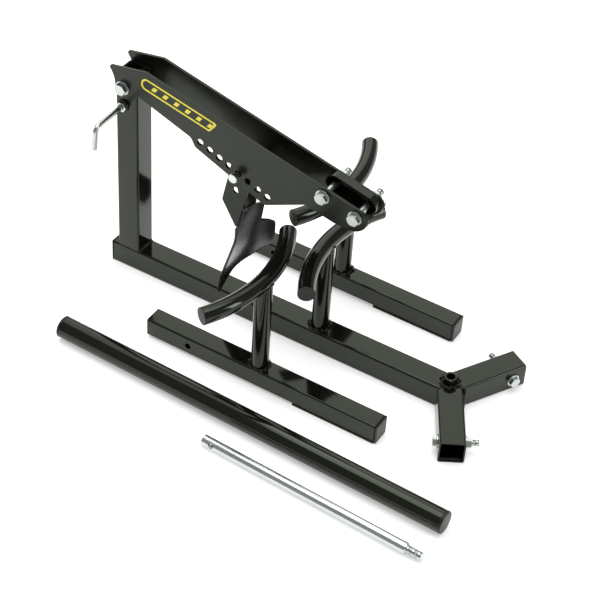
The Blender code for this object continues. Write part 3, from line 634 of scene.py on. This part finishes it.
saddle("rail", "frame", 1, RAIL_SKEW)

# ----------------------------------------------------------------------
# Pivot.  An M14 bolt carries the lever on the post, with a washer against each plate.
ARM_BOLT = {"across": 0.022, "head_height": 0.009, "radius": 0.007, "plain": 0.066, "pitch": 0.002}
ARM_WASHER = (0.0145, 0.0075)
ARM_NUT = (0.022, 0.011, 0.0072, zinc_plate)        # across flats, height, bore
ACROSS = (0, 1, 0)      # from the front to the back
pivot = middle("pivot_washer_front")
under = pivot - Vector((0, WASHER / 2 + GAP, 0))
fit(bolt("lever_pivot_bolt", under, ACROSS, threaded=0.022, **ARM_BOLT), "frame", "zinc", "pivot_bolt")
for side in ("front", "back"):
    node = "pivot_washer_" + side
    fit(washer("lever_" + node, node, ACROSS, *ARM_WASHER), "frame", "zinc", node)
fit(nut("lever_pivot_nut", "pivot_nut", ACROSS, *ARM_NUT), "frame", "zinc", "pivot_nut")

# ----------------------------------------------------------------------
# Clamp handle.  A 12 mm rod threaded into a nut welded to the post's face, bent down into a handle.
clamp_boss = nut("clamp_boss", "clamp_nut", ACROSS, 0.019, 0.010, 0.0062, zinc_plate)
fit(clamp_boss, "frame", "zinc", "clamp_nut")
clamp = middle("clamp_nut")
BOSS_LAP = 0.0105       # radius of the bead round it
boss_ring = [(clamp.x + BOSS_LAP * math.cos(t), -HALF - 0.0012, clamp.z + BOSS_LAP * math.sin(t))
             for t in [math.radians(a) for a in range(0, 360, 10)]]
weld("frame", boss_ring, 0.004, True, 0.0022)

HANDLE_R = 0.0055
HANDLE_BEND = 0.012
handle_low, handle_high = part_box("clamp_handle")
reach = handle_low.y + HANDLE_R
route = [Vector((clamp.x, handle_high.y, clamp.z))]
for step in range(13):
    angle = math.radians(90) * step / 12
    forward, down = HANDLE_BEND * (1 - math.sin(angle)), HANDLE_BEND * (1 - math.cos(angle))
    route.append(Vector((clamp.x, reach + forward, clamp.z - down)))
route.append(Vector((clamp.x - 0.003, reach, handle_low.z)))


def round_bar(name, points, radius, material):
    """A round bar bent along points."""
    curve = path_of(points)
    curve.bevel_depth = radius
    curve.bevel_resolution = 10
    curve.use_fill_caps = True
    guide = bpy.data.objects.new(name + "_guide", curve)
    bpy.context.scene.collection.objects.link(guide)
    bpy.context.view_layer.update()
    mesh = bpy.data.meshes.new_from_object(guide.evaluated_get(bpy.context.evaluated_depsgraph_get()))
    bpy.data.objects.remove(guide)
    work = bmesh.new()
    work.from_mesh(mesh)
    bmesh.ops.remove_doubles(work, verts=work.verts, dist=1e-6)
    rims = [edge for edge in work.edges if edge.is_manifold and edge.calc_face_angle() > math.radians(60)]
    bmesh.ops.bevel(work, geom=rims, offset=0.0008, segments=2, affect="EDGES", profile=0.5)
    bmesh.ops.recalc_face_normals(work, faces=work.faces)
    work.to_mesh(mesh)
    work.free()
    return new_piece(name, mesh, material, 40)


fit(round_bar("clamp_rod", route, HANDLE_R, zinc_plate), "clamp_handle", "zinc", "clamp_handle")

# ----------------------------------------------------------------------
# Lever arm.  Two plates of 6 mm steel, laser cut to one outline with a row of eight holes for the
# shoe's pin, held apart at the outer end by two M14 bolts and a flat-oval band.


def rounded(corners, steps=10):
    """Points of an outline whose corners (x, y, radius) are turned into arcs."""
    points = []
    for index, (x, y, radius) in enumerate(corners):
        here = Vector((x, y))
        if radius == 0:
            points.append(here)
            continue
        before = (Vector(corners[index - 1][:2]) - here).normalized()
        after = (Vector(corners[(index + 1) % len(corners)][:2]) - here).normalized()
        half_angle = before.angle(after) / 2
        centre = here + (before + after).normalized() * radius / math.sin(half_angle)
        first = here + before * radius / math.tan(half_angle) - centre
        last = here + after * radius / math.tan(half_angle) - centre
        sweep = first.angle_signed(last)
        points += [centre + Matrix.Rotation(-sweep * step / steps, 2) @ first for step in range(steps + 1)]
    return points


# The black powder coat on the lever's plates and the lugs: satin, so that reflections blur and the sheen has
# soft edges.
plate_coat, tree, shader = new_material("satin_black_powder_coat_on_plate", IOR=1.5, Specular_IOR_Level=0.42,
                                        Specular_Tint=linear("#F6FFEC"))
place = add(tree, "ShaderNodeTexCoord").outputs["Object"]
scale_marks = add(tree, "ShaderNodeTexNoise", {"Vector": place, "Scale": 24.0, "Detail": 4.0}).outputs["Fac"]
pimples = add(tree, "ShaderNodeTexNoise", {"Vector": place, "Scale": 420.0, "Detail": 2.0}).outputs["Fac"]
tree.links.new(tint(tree, scale_marks, "#0B0C0A", "#151613"), shader.inputs["Base Color"])
tree.links.new(spread(tree, scale_marks, 0.22, 0.36), shader.inputs["Roughness"])
bump(tree, shader, pimples, 0.10, 0.0002)

# Side outline in x, z and corner radius, anticlockwise seen from the front.
ARM_OUTLINE = [
    (-0.7470, 0.4640, 0.060), (-0.7440, 0.4235, 0.018), (-0.7070, 0.4235, 0.006), (-0.6930, 0.4400, 0.008),
    (-0.5740, 0.3970, 0.012), (-0.5640, 0.3790, 0.012), (-0.4420, 0.3270, 0.030), (-0.4080, 0.3120, 0.014),
    (-0.3210, 0.3530, 0.006), (-0.2600, 0.3395, 0.020), (-0.1885, 0.3370, 0.036), (-0.1905, 0.3850, 0.022),
    (-0.6290, 0.4896, 0.300), (-0.6760, 0.5010, 0.008), (-0.7600, 0.4865, 0.004)]
HOLE_PITCH = 0.0232
HOLE_SLOPE = math.radians(-22.4)
HOLE_RADIUS = 0.0070
PLATE = 0.006
PLATE_EASE = 0.0006
pin = middle("shoe_pin")
UPRIGHT = Matrix.Rotation(math.pi / 2, 4, "X")      # the outline's y becomes the plate's z
step_x, step_z = HOLE_PITCH * math.cos(HOLE_SLOPE), HOLE_PITCH * math.sin(HOLE_SLOPE)
holes = [circle(pin.x + step_x * step, pin.z + step_z * step, HOLE_RADIUS, 36) for step in range(-4, 4)]
end_bolts = [middle("arm_washer_inner_front"), middle("arm_washer_outer_front")]
holes += [circle(at.x, at.z, ARM_WASHER[1], 36) for at in [pivot] + end_bolts]
plate_loops = [rounded(ARM_OUTLINE)] + holes
for side in ("front", "back"):
    node = "arm_plate_" + side
    place = Matrix.Translation((0, middle(node).y, 0)) @ UPRIGHT
    plate = flat_piece("lever_plate_" + side, plate_loops, PLATE, PLATE_EASE, place, plate_coat)
    fit(plate, "lever_arm", "black_paint", node)

band_low, band_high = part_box("end_band")
BAND_R = 0.020
BAND_WALL = 0.003
BAND_EASE = 0.0004


def flat_oval(radius, steps=20):
    """A racetrack round the two end bolts."""
    first, second = end_bolts
    slope = math.atan2(second.z - first.z, second.x - first.x)
    points = []
    for at, turn in ((second, slope - math.pi / 2), (first, slope + math.pi / 2)):
        angles = [turn + math.pi * step / steps for step in range(steps + 1)]
        points += [(at.x + radius * math.cos(a), at.z + radius * math.sin(a)) for a in angles]
    return points


band_loops = [flat_oval(BAND_R), flat_oval(BAND_R - BAND_WALL)]
band_place = Matrix.Translation((0, (band_low.y + band_high.y) / 2, 0)) @ UPRIGHT
band = flat_piece("end_spacer_band", band_loops, band_high.y - band_low.y, BAND_EASE, band_place, powder_coat)
fit(band, "lever_arm", "black_paint", "end_band")

for which, at in zip(("inner", "outer"), end_bolts):
    under = at - Vector((0, WASHER / 2 + GAP, 0))
    end_bolt = bolt("end_bolt_" + which, under, ACROSS, threaded=0.032, **ARM_BOLT)
    fit(end_bolt, "lever_arm", "zinc", "arm_bolt_" + which)
    for side in ("front", "back"):
        node = "arm_washer_%s_%s" % (which, side)
        fit(washer("end_washer_%s_%s" % (which, side), node, ACROSS, *ARM_WASHER), "lever_arm", "zinc", node)
    node = "arm_nut_" + which
    fit(nut("end_nut_" + which, node, ACROSS, *ARM_NUT), "lever_arm", "zinc", node)

# ----------------------------------------------------------------------
# Decal.  A cut-vinyl stripe on the front plate: a yellow outline with plain slanted bars and no wording.

# Calendered vinyl film, screen printed yellow: even and satin, a little thin towards its cut edges.
vinyl, tree, shader = new_material("yellow_vinyl_film", Roughness=0.38, IOR=1.53)
place = add(tree, "ShaderNodeTexCoord").outputs["Object"]
ink = add(tree, "ShaderNodeTexNoise", {"Vector": place, "Scale": 260.0, "Detail": 2.0}).outputs["Fac"]
tree.links.new(tint(tree, ink, "#FBE61E", "#FFF04A"), shader.inputs["Base Color"])
bump(tree, shader, ink, 0.1, 0.0001)

DECAL_FROM = (-0.6700, 0.4740)
DECAL_SLOPE = math.radians(-13.2)
DECAL_LENGTH = 0.150
DECAL_HALF = 0.0130
DECAL_STROKE = 0.0036
VINYL = 0.0003
VINYL_EASE = 0.00005
face_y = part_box("arm_plate_front")[0].y - VINYL / 2
decal_place = (Matrix.Translation((DECAL_FROM[0], face_y, DECAL_FROM[1])) @ UPRIGHT
               @ Matrix.Rotation(DECAL_SLOPE, 4, "Z"))


def stadium(half, lean):
    """A long outline with a round tail and a slanted nose."""
    inset = DECAL_HALF - half
    nose = DECAL_LENGTH - inset
    tail = -DECAL_HALF * 1.2 + inset
    return rounded([(tail, -half, half * 0.9), (nose - lean, -half, 0.004), (nose + lean, half, 0.004),
                    (tail, half, half * 0.9)], 8)


decal_loops = [stadium(DECAL_HALF, 0.006), stadium(DECAL_HALF - DECAL_STROKE, 0.0045)]
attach(flat_piece("decal_outline", decal_loops, VINYL, VINYL_EASE, decal_place, vinyl), "lever_arm")
BARS = 6
BAR_WIDTH = 0.0090
BAR_SLANT = 0.004
BAR_HALF = DECAL_HALF * 0.38
for number in range(BARS):
    foot_at = 0.008 + number * (DECAL_LENGTH - 0.022) / (BARS - 1)
    bar = [(foot_at, -BAR_HALF), (foot_at + BAR_WIDTH, -BAR_HALF),
           (foot_at + BAR_WIDTH + BAR_SLANT, BAR_HALF), (foot_at + BAR_SLANT, BAR_HALF)]
    stripe = flat_piece("decal_bar_%d" % (number + 1), [bar], VINYL, VINYL_EASE, decal_place, vinyl)
    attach(stripe, "lever_arm")

# ----------------------------------------------------------------------
# Shoe.  The tool that pushes a tyre's bead off the rim: a half spade of 5 mm plate, rolled to a hollow,
# with one straight edge, one wing and a narrow tip, welded to two lugs that hang on a loose pin.
SHOE_LEAN = math.radians(9.0)
SHOE_ROLL = math.radians(6.0)
LUG = 0.005
LUG_OUTER = 0.020
shoe_place = (Matrix.Translation((pin.x, 0, pin.z)) @ Matrix.Rotation(SHOE_LEAN, 4, "Y")
              @ Matrix.Rotation(-SHOE_ROLL, 4, "X"))
PIN_HOLE = 0.0072
SPARE_HOLE = (-0.0005, -0.050, 0.0066)      # x, z and radius
# Outlines in x, z and corner radius about the pin; the back lug has more of its heel cut away.
LUG_TOP = [(-0.024, 0.016, 0.008), (0.024, 0.016, 0.008)]
LUG_TOE = (0.0178, -0.1275, 0.004)
LUG_FRONT = LUG_TOP + [(0.0232, -0.0800, 0.0), (0.0218, -0.1275, 0.0), LUG_TOE, (-0.0235, -0.0850, 0.008)]
LUG_BACK = LUG_TOP + [(0.0235, -0.0500, 0.010), (0.0302, -0.0800, 0.004), (0.0288, -0.1275, 0.0), LUG_TOE,
                      (-0.0240, -0.0550, 0.008)]
for side, sign, shape in (("front", -1, LUG_FRONT), ("back", 1, LUG_BACK)):
    place = shoe_place @ Matrix.Translation((0, sign * (LUG_OUTER - LUG / 2), 0)) @ UPRIGHT
    lug_loops = [rounded(list(reversed(shape))), circle(0, 0, PIN_HOLE, 36), circle(*SPARE_HOLE, 36)]
    lug = flat_piece("hanging_lug_" + side, lug_loops, LUG, PLATE_EASE, place, plate_coat)
    fit(lug, "shoe", "black_paint", "shoe_lug_" + side)

# The blade's coat: black powder with a glossier clear layer that fades in by height over the lower half and
# stops short of the tip.  The layer's extent and its index of 2.0 are given here; the real coat isn't known.
blade_coat, tree, shader = new_material("blade_black_powder_coat", IOR=1.5, Specular_IOR_Level=0.42,
                                        Coat_IOR=2.0, Coat_Roughness=0.22)
place = add(tree, "ShaderNodeTexCoord").outputs["Object"]
cloud = add(tree, "ShaderNodeTexNoise", {"Vector": place, "Scale": 20.0, "Detail": 2.0}).outputs["Fac"]
tree.links.new(tint(tree, cloud, "#0B0C0B", "#121312"), shader.inputs["Base Color"])
tree.links.new(spread(tree, cloud, 0.22, 0.32), shader.inputs["Roughness"])
level = add(tree, "ShaderNodeSeparateXYZ", {0: place}).outputs["Z"]
below = add(tree, "ShaderNodeMapRange", {"Value": level, "From Min": 0.205, "From Max": 0.150},
            interpolation_type="SMOOTHSTEP").outputs["Result"]
above = add(tree, "ShaderNodeMapRange", {"Value": level, "From Min": 0.108, "From Max": 0.114},
            interpolation_type="SMOOTHSTEP").outputs["Result"]
glossier = add(tree, "ShaderNodeMath", {0: below, 1: above}, operation="MULTIPLY").outputs[0]
tree.links.new(glossier, shader.inputs["Coat Weight"])

BLADE = 0.005
BLADE_CURVE = 0.080
BLADE_COLUMNS = 24
# Depth below the pin, x of the straight edge, and y of the far edge: neck, shoulder, wing and tip.
BLADE_ROWS = [
    (-0.0800, 0.0262, 0.0285), (-0.1000, 0.0258, 0.0300), (-0.1195, 0.0254, 0.0313),
    (-0.1222, 0.0254, 0.0322), (-0.1235, 0.0253, 0.0345), (-0.1240, 0.0253, 0.0380),
    (-0.1240, 0.0253, 0.0460), (-0.1247, 0.0253, 0.0485), (-0.1262, 0.0253, 0.0502),
    (-0.1290, 0.0254, 0.0508), (-0.1450, 0.0258, 0.0521), (-0.1650, 0.0265, 0.0533),
    (-0.1720, 0.0260, 0.0534), (-0.1765, 0.0256, 0.0528), (-0.1830, 0.0249, 0.0510),
    (-0.1895, 0.0243, 0.0478), (-0.1958, 0.0238, 0.0440), (-0.2035, 0.0231, 0.0408),
    (-0.2105, 0.0224, 0.0375), (-0.2160, 0.0219, 0.0338), (-0.2210, 0.0214, 0.0300),
    (-0.2265, 0.0209, 0.0256), (-0.2316, 0.0204, 0.0215), (-0.2416, 0.0195, 0.0140),
    (-0.2500, 0.0188, 0.0095), (-0.2600, 0.0192, 0.0045), (-0.2800, 0.0200, -0.0055),
    (-0.2940, 0.0206, -0.0130), (-0.2960, 0.0206, -0.0150)]
work = bmesh.new()
rows = []
for depth, edge_x, far_y in BLADE_ROWS:
    row = []
    for step in range(BLADE_COLUMNS + 1):
        across = (far_y + LUG_OUTER) * step / BLADE_COLUMNS
        hollow = BLADE_CURVE - math.sqrt(BLADE_CURVE ** 2 - across ** 2)
        row.append(work.verts.new((edge_x + hollow, across - LUG_OUTER, depth)))
    rows.append(row)
for upper, lower in zip(rows, rows[1:]):
    for i in range(BLADE_COLUMNS):
        work.faces.new((upper[i], lower[i], lower[i + 1], upper[i + 1]))
bmesh.ops.recalc_face_normals(work, faces=work.faces)
blade_mesh = bpy.data.meshes.new("blade")
work.to_mesh(blade_mesh)
work.free()
blade_mesh.transform(shoe_place)
blade = new_piece("bead_blade", blade_mesh, blade_coat, 60)
wall = blade.modifiers.new("plate", "SOLIDIFY")
wall.thickness = BLADE
wall.offset = 0
rounding = blade.modifiers.new("eased_edges", "BEVEL")
rounding.width = 0.0008
rounding.segments = 2
rounding.limit_method = "ANGLE"
rounding.angle_limit = math.radians(60)
fit(blade, "shoe", "black_paint", "shoe_blade")
# It is welded down the front lug's outer corner, behind the back lug, and with a knot at the neck's corner.
for seam_x, seam_y, width in ((0.0236, -LUG_OUTER - 0.0006, 0.004), (0.0290, LUG_OUTER + 0.001, 0.0055)):
    seam = [shoe_place @ Vector((seam_x, seam_y, depth / 1000)) for depth in range(-124, -86, 6)]
    weld("shoe", seam, width)
weld("shoe", [shoe_place @ Vector((0.0262, y / 1000 - LUG_OUTER, -0.0795)) for y in range(0, 8, 2)], 0.0055)

# Turned mild steel, bright: concentric tool marks about 0.2 mm apart, drawn at 1.5 mm so that they show,
# which pull the highlight out into fine bands.
bright_steel, tree, shader = new_material("bright_turned_steel", Metallic=1.0)
place = add(tree, "ShaderNodeTexCoord").outputs["Object"]
SPINDLE_YAW = math.radians(-2.6)
squared = add(tree, "ShaderNodeMapping", {"Vector": place, "Rotation": (0, 0, -SPINDLE_YAW)},
              vector_type="POINT")
marks = add(tree, "ShaderNodeTexWave", {"Vector": squared.outputs[0], "Scale": 210.0, "Distortion": 1.5,
                                        "Detail": 2.0}, wave_type="BANDS", bands_direction="X").outputs["Fac"]
smear = add(tree, "ShaderNodeTexNoise", {"Vector": place, "Scale": 30.0, "Detail": 3.0}).outputs["Fac"]
tree.links.new(tint(tree, smear, "#C4CACB", "#D9DBD8"), shader.inputs["Base Color"])
tree.links.new(spread(tree, marks, 0.16, 0.28), shader.inputs["Roughness"])
bump(tree, shader, marks, 0.03, 0.0001)

# The pin: a round head and a plain shank with a rounded point.
pin_low, pin_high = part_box("shoe_pin")
reach = pin_high.y - pin_low.y
pin_profile = [(0, reach), (0.0035, reach), (0.005, reach - 0.0015), (0.005, 0.0062), (0.0094, 0.006),
               (0.0095, 0.0058), (0.0095, 0.0008), (0.0088, 0.0), (0, 0.0)]
hanging_pin = turned("hanging_pin", pin_profile, along((pin.x, pin_low.y, pin.z), ACROSS), bright_steel)
fit(hanging_pin, "shoe_pin", "bright_steel", "shoe_pin")

# ----------------------------------------------------------------------
# Legs.  40 mm square tube with a saddle each; a flat bar under the outer half levels it with the
# sockets, and a moulded plug closes the outer end.
for prefix in ("front", "back"):
    body = prefix + "_leg"
    outward = middle(prefix + "_leg_cap") - middle(prefix + "_saddle_post")
    leg_turn = math.atan2(outward.y, outward.x)
    for part, node, finish, slot, ease in (
            ("_leg_body", "_leg_tube", powder_coat, "black_paint", TUBE_EASE),
            ("_foot_bar", "_foot_plate", powder_coat, "black_paint", TUBE_EASE),
            ("_leg_plug", "_leg_cap", moulded_plastic, "black_plastic", PLUG_EASE)):
        fit(eased(prefix + part, prefix + node, finish, ease), body, slot, prefix + node)
    saddle(prefix, body, -1, leg_turn)

# ----------------------------------------------------------------------
# Handle bar.  A length of 44.5 mm tube that slips between the lever's plates, drilled near one end
# for a pin and plugged at both.
BAR_R = 0.02225
left_cap = middle("bar_cap_left")
right_cap = middle("bar_cap_right")
bar_axis = (right_cap - left_cap).normalized()
cap_length = 0.005
bar_start = left_cap + bar_axis * (cap_length / 2 + GAP)
bar_length = (right_cap - left_cap).length - cap_length - 2 * GAP
bar_profile = [(0, bar_length), (BAR_R - 0.0004, bar_length), (BAR_R, bar_length - 0.0004), (BAR_R, 0.0004),
               (BAR_R - 0.0004, 0), (0, 0)]
bar = turned("handle_tube", bar_profile, along(bar_start, bar_axis), powder_coat, 35, 72)


def drilled(piece, at, axis, radius, depth):
    """Drill a hole right through a piece."""
    drill = turned("drill", [(0, depth), (radius, depth), (radius, 0), (0, 0)],
                   along(at - axis * depth / 2, axis), piece.data.materials[0])
    cut(piece, drill)
    bpy.data.objects.remove(drill)


BAR_HOLE = 0.0065
BAR_HOLE_TILT = math.radians(40)
hole_axis = Vector((0, math.cos(BAR_HOLE_TILT), math.sin(BAR_HOLE_TILT)))
drilled(bar, bar_start + bar_axis * 0.027, hole_axis, BAR_HOLE, 0.08)
fit(bar, "handle_bar", "black_paint", "handle_bar")
CAP_ROUND = 0.0018
for which, cap, out in (("left", left_cap, -bar_axis), ("right", right_cap, bar_axis)):
    corner = [(BAR_R - CAP_ROUND + CAP_ROUND * math.sin(a), cap_length - CAP_ROUND + CAP_ROUND * math.cos(a))
              for a in [math.radians(t) for t in range(0, 91, 15)]]
    profile = [(0, cap_length)] + corner + [(BAR_R, 0.0003), (BAR_R - 0.0003, 0), (0, 0)]
    place = along(cap - out * cap_length / 2, out)
    fit(turned("handle_end_" + which, profile, place, moulded_plastic, 50, 72),
        "handle_bar", "black_plastic", "bar_cap_" + which)

# ----------------------------------------------------------------------
# Spindle.  A bright turned bar with an M16 thread that screws into the junction nut and a cross hole
# for a tommy bar at the other end.
SPINDLE_R = 0.011
SPINDLE_THREAD_R = 0.008
SPINDLE_THREAD = 0.030
SPINDLE_LENGTH = 0.440
spindle_axis = Vector((math.cos(SPINDLE_YAW), math.sin(SPINDLE_YAW), 0))
spindle_start = middle("spindle") - spindle_axis * (SPINDLE_LENGTH + SPINDLE_THREAD) / 2
spindle_start.z = SPINDLE_R
spindle_profile = [(0, SPINDLE_LENGTH), (SPINDLE_R - 0.0015, SPINDLE_LENGTH),
                   (SPINDLE_R, SPINDLE_LENGTH - 0.0015), (SPINDLE_R, 0.0012), (SPINDLE_R - 0.0012, 0), (0, 0)]
spindle = turned("spindle_bar", spindle_profile, along(spindle_start, spindle_axis), bright_steel, 30, 72)
TOMMY_HOLE = 0.0052
hole_axis = Vector((0, -math.sin(math.radians(67)), math.sin(math.radians(23))))
drilled(spindle, spindle_start + spindle_axis * 0.022, hole_axis, TOMMY_HOLE, 0.06)
fit(spindle, "spindle", "bright_steel", "spindle")

STUD_SIZES = {"Shank_radius": SPINDLE_THREAD_R, "Threaded": SPINDLE_THREAD, "Pitch": 0.002}
stud_tree, given = geometry_tree("threaded_stud", **STUD_SIZES)
wound = thread(stud_tree, given["Shank radius"], given["Threaded"], 0.0, given["Pitch"])
finish_tree(stud_tree, wound, bright_steel)
stud = grown("stud", stud_tree, **STUD_SIZES)
stud.transform(along(spindle_start + spindle_axis * SPINDLE_LENGTH, -spindle_axis))
fit(new_piece("spindle_stud", stud, bright_steel, 25), "spindle", "bright_steel", "spindle")

# The beads laid so far become one piece on each body.
for body, beads in welds.items():
    work = bmesh.new()
    for bead in beads:
        work.from_mesh(bead)
    mesh = bpy.data.meshes.new("welds")
    work.to_mesh(mesh)
    work.free()
    fit(new_piece(body + "_welds", mesh, powder_coat, 180), body, "black_paint")

# ----------------------------------------------------------------------
# Studio.  A plain white light table in a dim room, a large light overhead, a panel behind and two side
# strips.
floor_material, tree, shader = new_material("pale_opal_floor", Roughness=0.9)
shader.inputs["Base Color"].default_value = linear("#FFFFFF")
shader.inputs["Emission Color"].default_value = linear("#FFFFFF")
shader.inputs["Emission Strength"].default_value = 0.38
work = bmesh.new()
bmesh.ops.create_grid(work, x_segments=1, y_segments=1, size=8)
floor_mesh = bpy.data.meshes.new("floor")
work.to_mesh(floor_mesh)
work.free()
floor = new_piece("floor", floor_mesh, floor_material)

bpy.context.scene.view_settings.view_transform = "Standard"
world = bpy.data.worlds.new("dim_room")
bpy.context.scene.world = world
world.use_nodes = True
room = world.node_tree.nodes["Background"]
room.inputs["Color"].default_value = linear("#FFFFFF")
room.inputs["Strength"].default_value = 0.30


def soft_light(name, at, aim, width, depth, power, colour="#FFFFFF"):
    """A rectangular soft box looking at a point."""
    lamp = bpy.data.lights.new(name, "AREA")
    lamp.shape = "RECTANGLE"
    lamp.size = width
    lamp.size_y = depth
    lamp.energy = power
    lamp.color = linear(colour)[:3]
    holder = bpy.data.objects.new(name, lamp)
    facing = (Vector(at) - Vector(aim)).to_track_quat("Z", "Y").to_matrix().to_4x4()
    holder.matrix_world = Matrix.Translation(at) @ facing
    bpy.context.scene.collection.objects.link(holder)


soft_light("overhead", (-0.35, 0.0, 4.0), (-0.35, 0.0, 0.0), 3.0, 3.0, 88, "#F6F9F6")
soft_light("back_panel", (-1.7, 1.55, 2.3), (-0.35, 0.0, 0.1), 3.4, 3.2, 46, "#F8FBF3")
soft_light("right_strip", (2.4, 0.3, 1.2), (-0.35, 0.0, 0.1), 0.4, 1.6, 14)
soft_light("left_strip", (-3.0, -0.6, 1.2), (-0.35, 0.0, 0.1), 0.4, 1.6, 14)

# The camera looks down on the front from the right, tipped a few degrees.
AZIMUTH = math.radians(28.72)
ELEVATION = math.radians(41.64)
ROLL = math.radians(4.04)
DISTANCE = 3.51645
TARGET = Vector((-0.35078, 0.02858, 0.060))
back = Vector((math.sin(AZIMUTH) * math.cos(ELEVATION), -math.cos(AZIMUTH) * math.cos(ELEVATION),
               math.sin(ELEVATION)))
level = Vector((math.cos(AZIMUTH), math.sin(AZIMUTH), 0))
upward = back.cross(level)
right = level * math.cos(ROLL) + upward * math.sin(ROLL)
up = upward * math.cos(ROLL) - level * math.sin(ROLL)
lens = bpy.data.cameras.new("camera")
lens.sensor_width = 36.0
lens.lens = 107.2
camera = bpy.data.objects.new("camera", lens)
turn = Matrix((right, up, back)).transposed().to_4x4()
camera.matrix_world = Matrix.Translation(TARGET + back * DISTANCE) @ turn
bpy.context.scene.collection.objects.link(camera)
bpy.context.scene.camera = camera
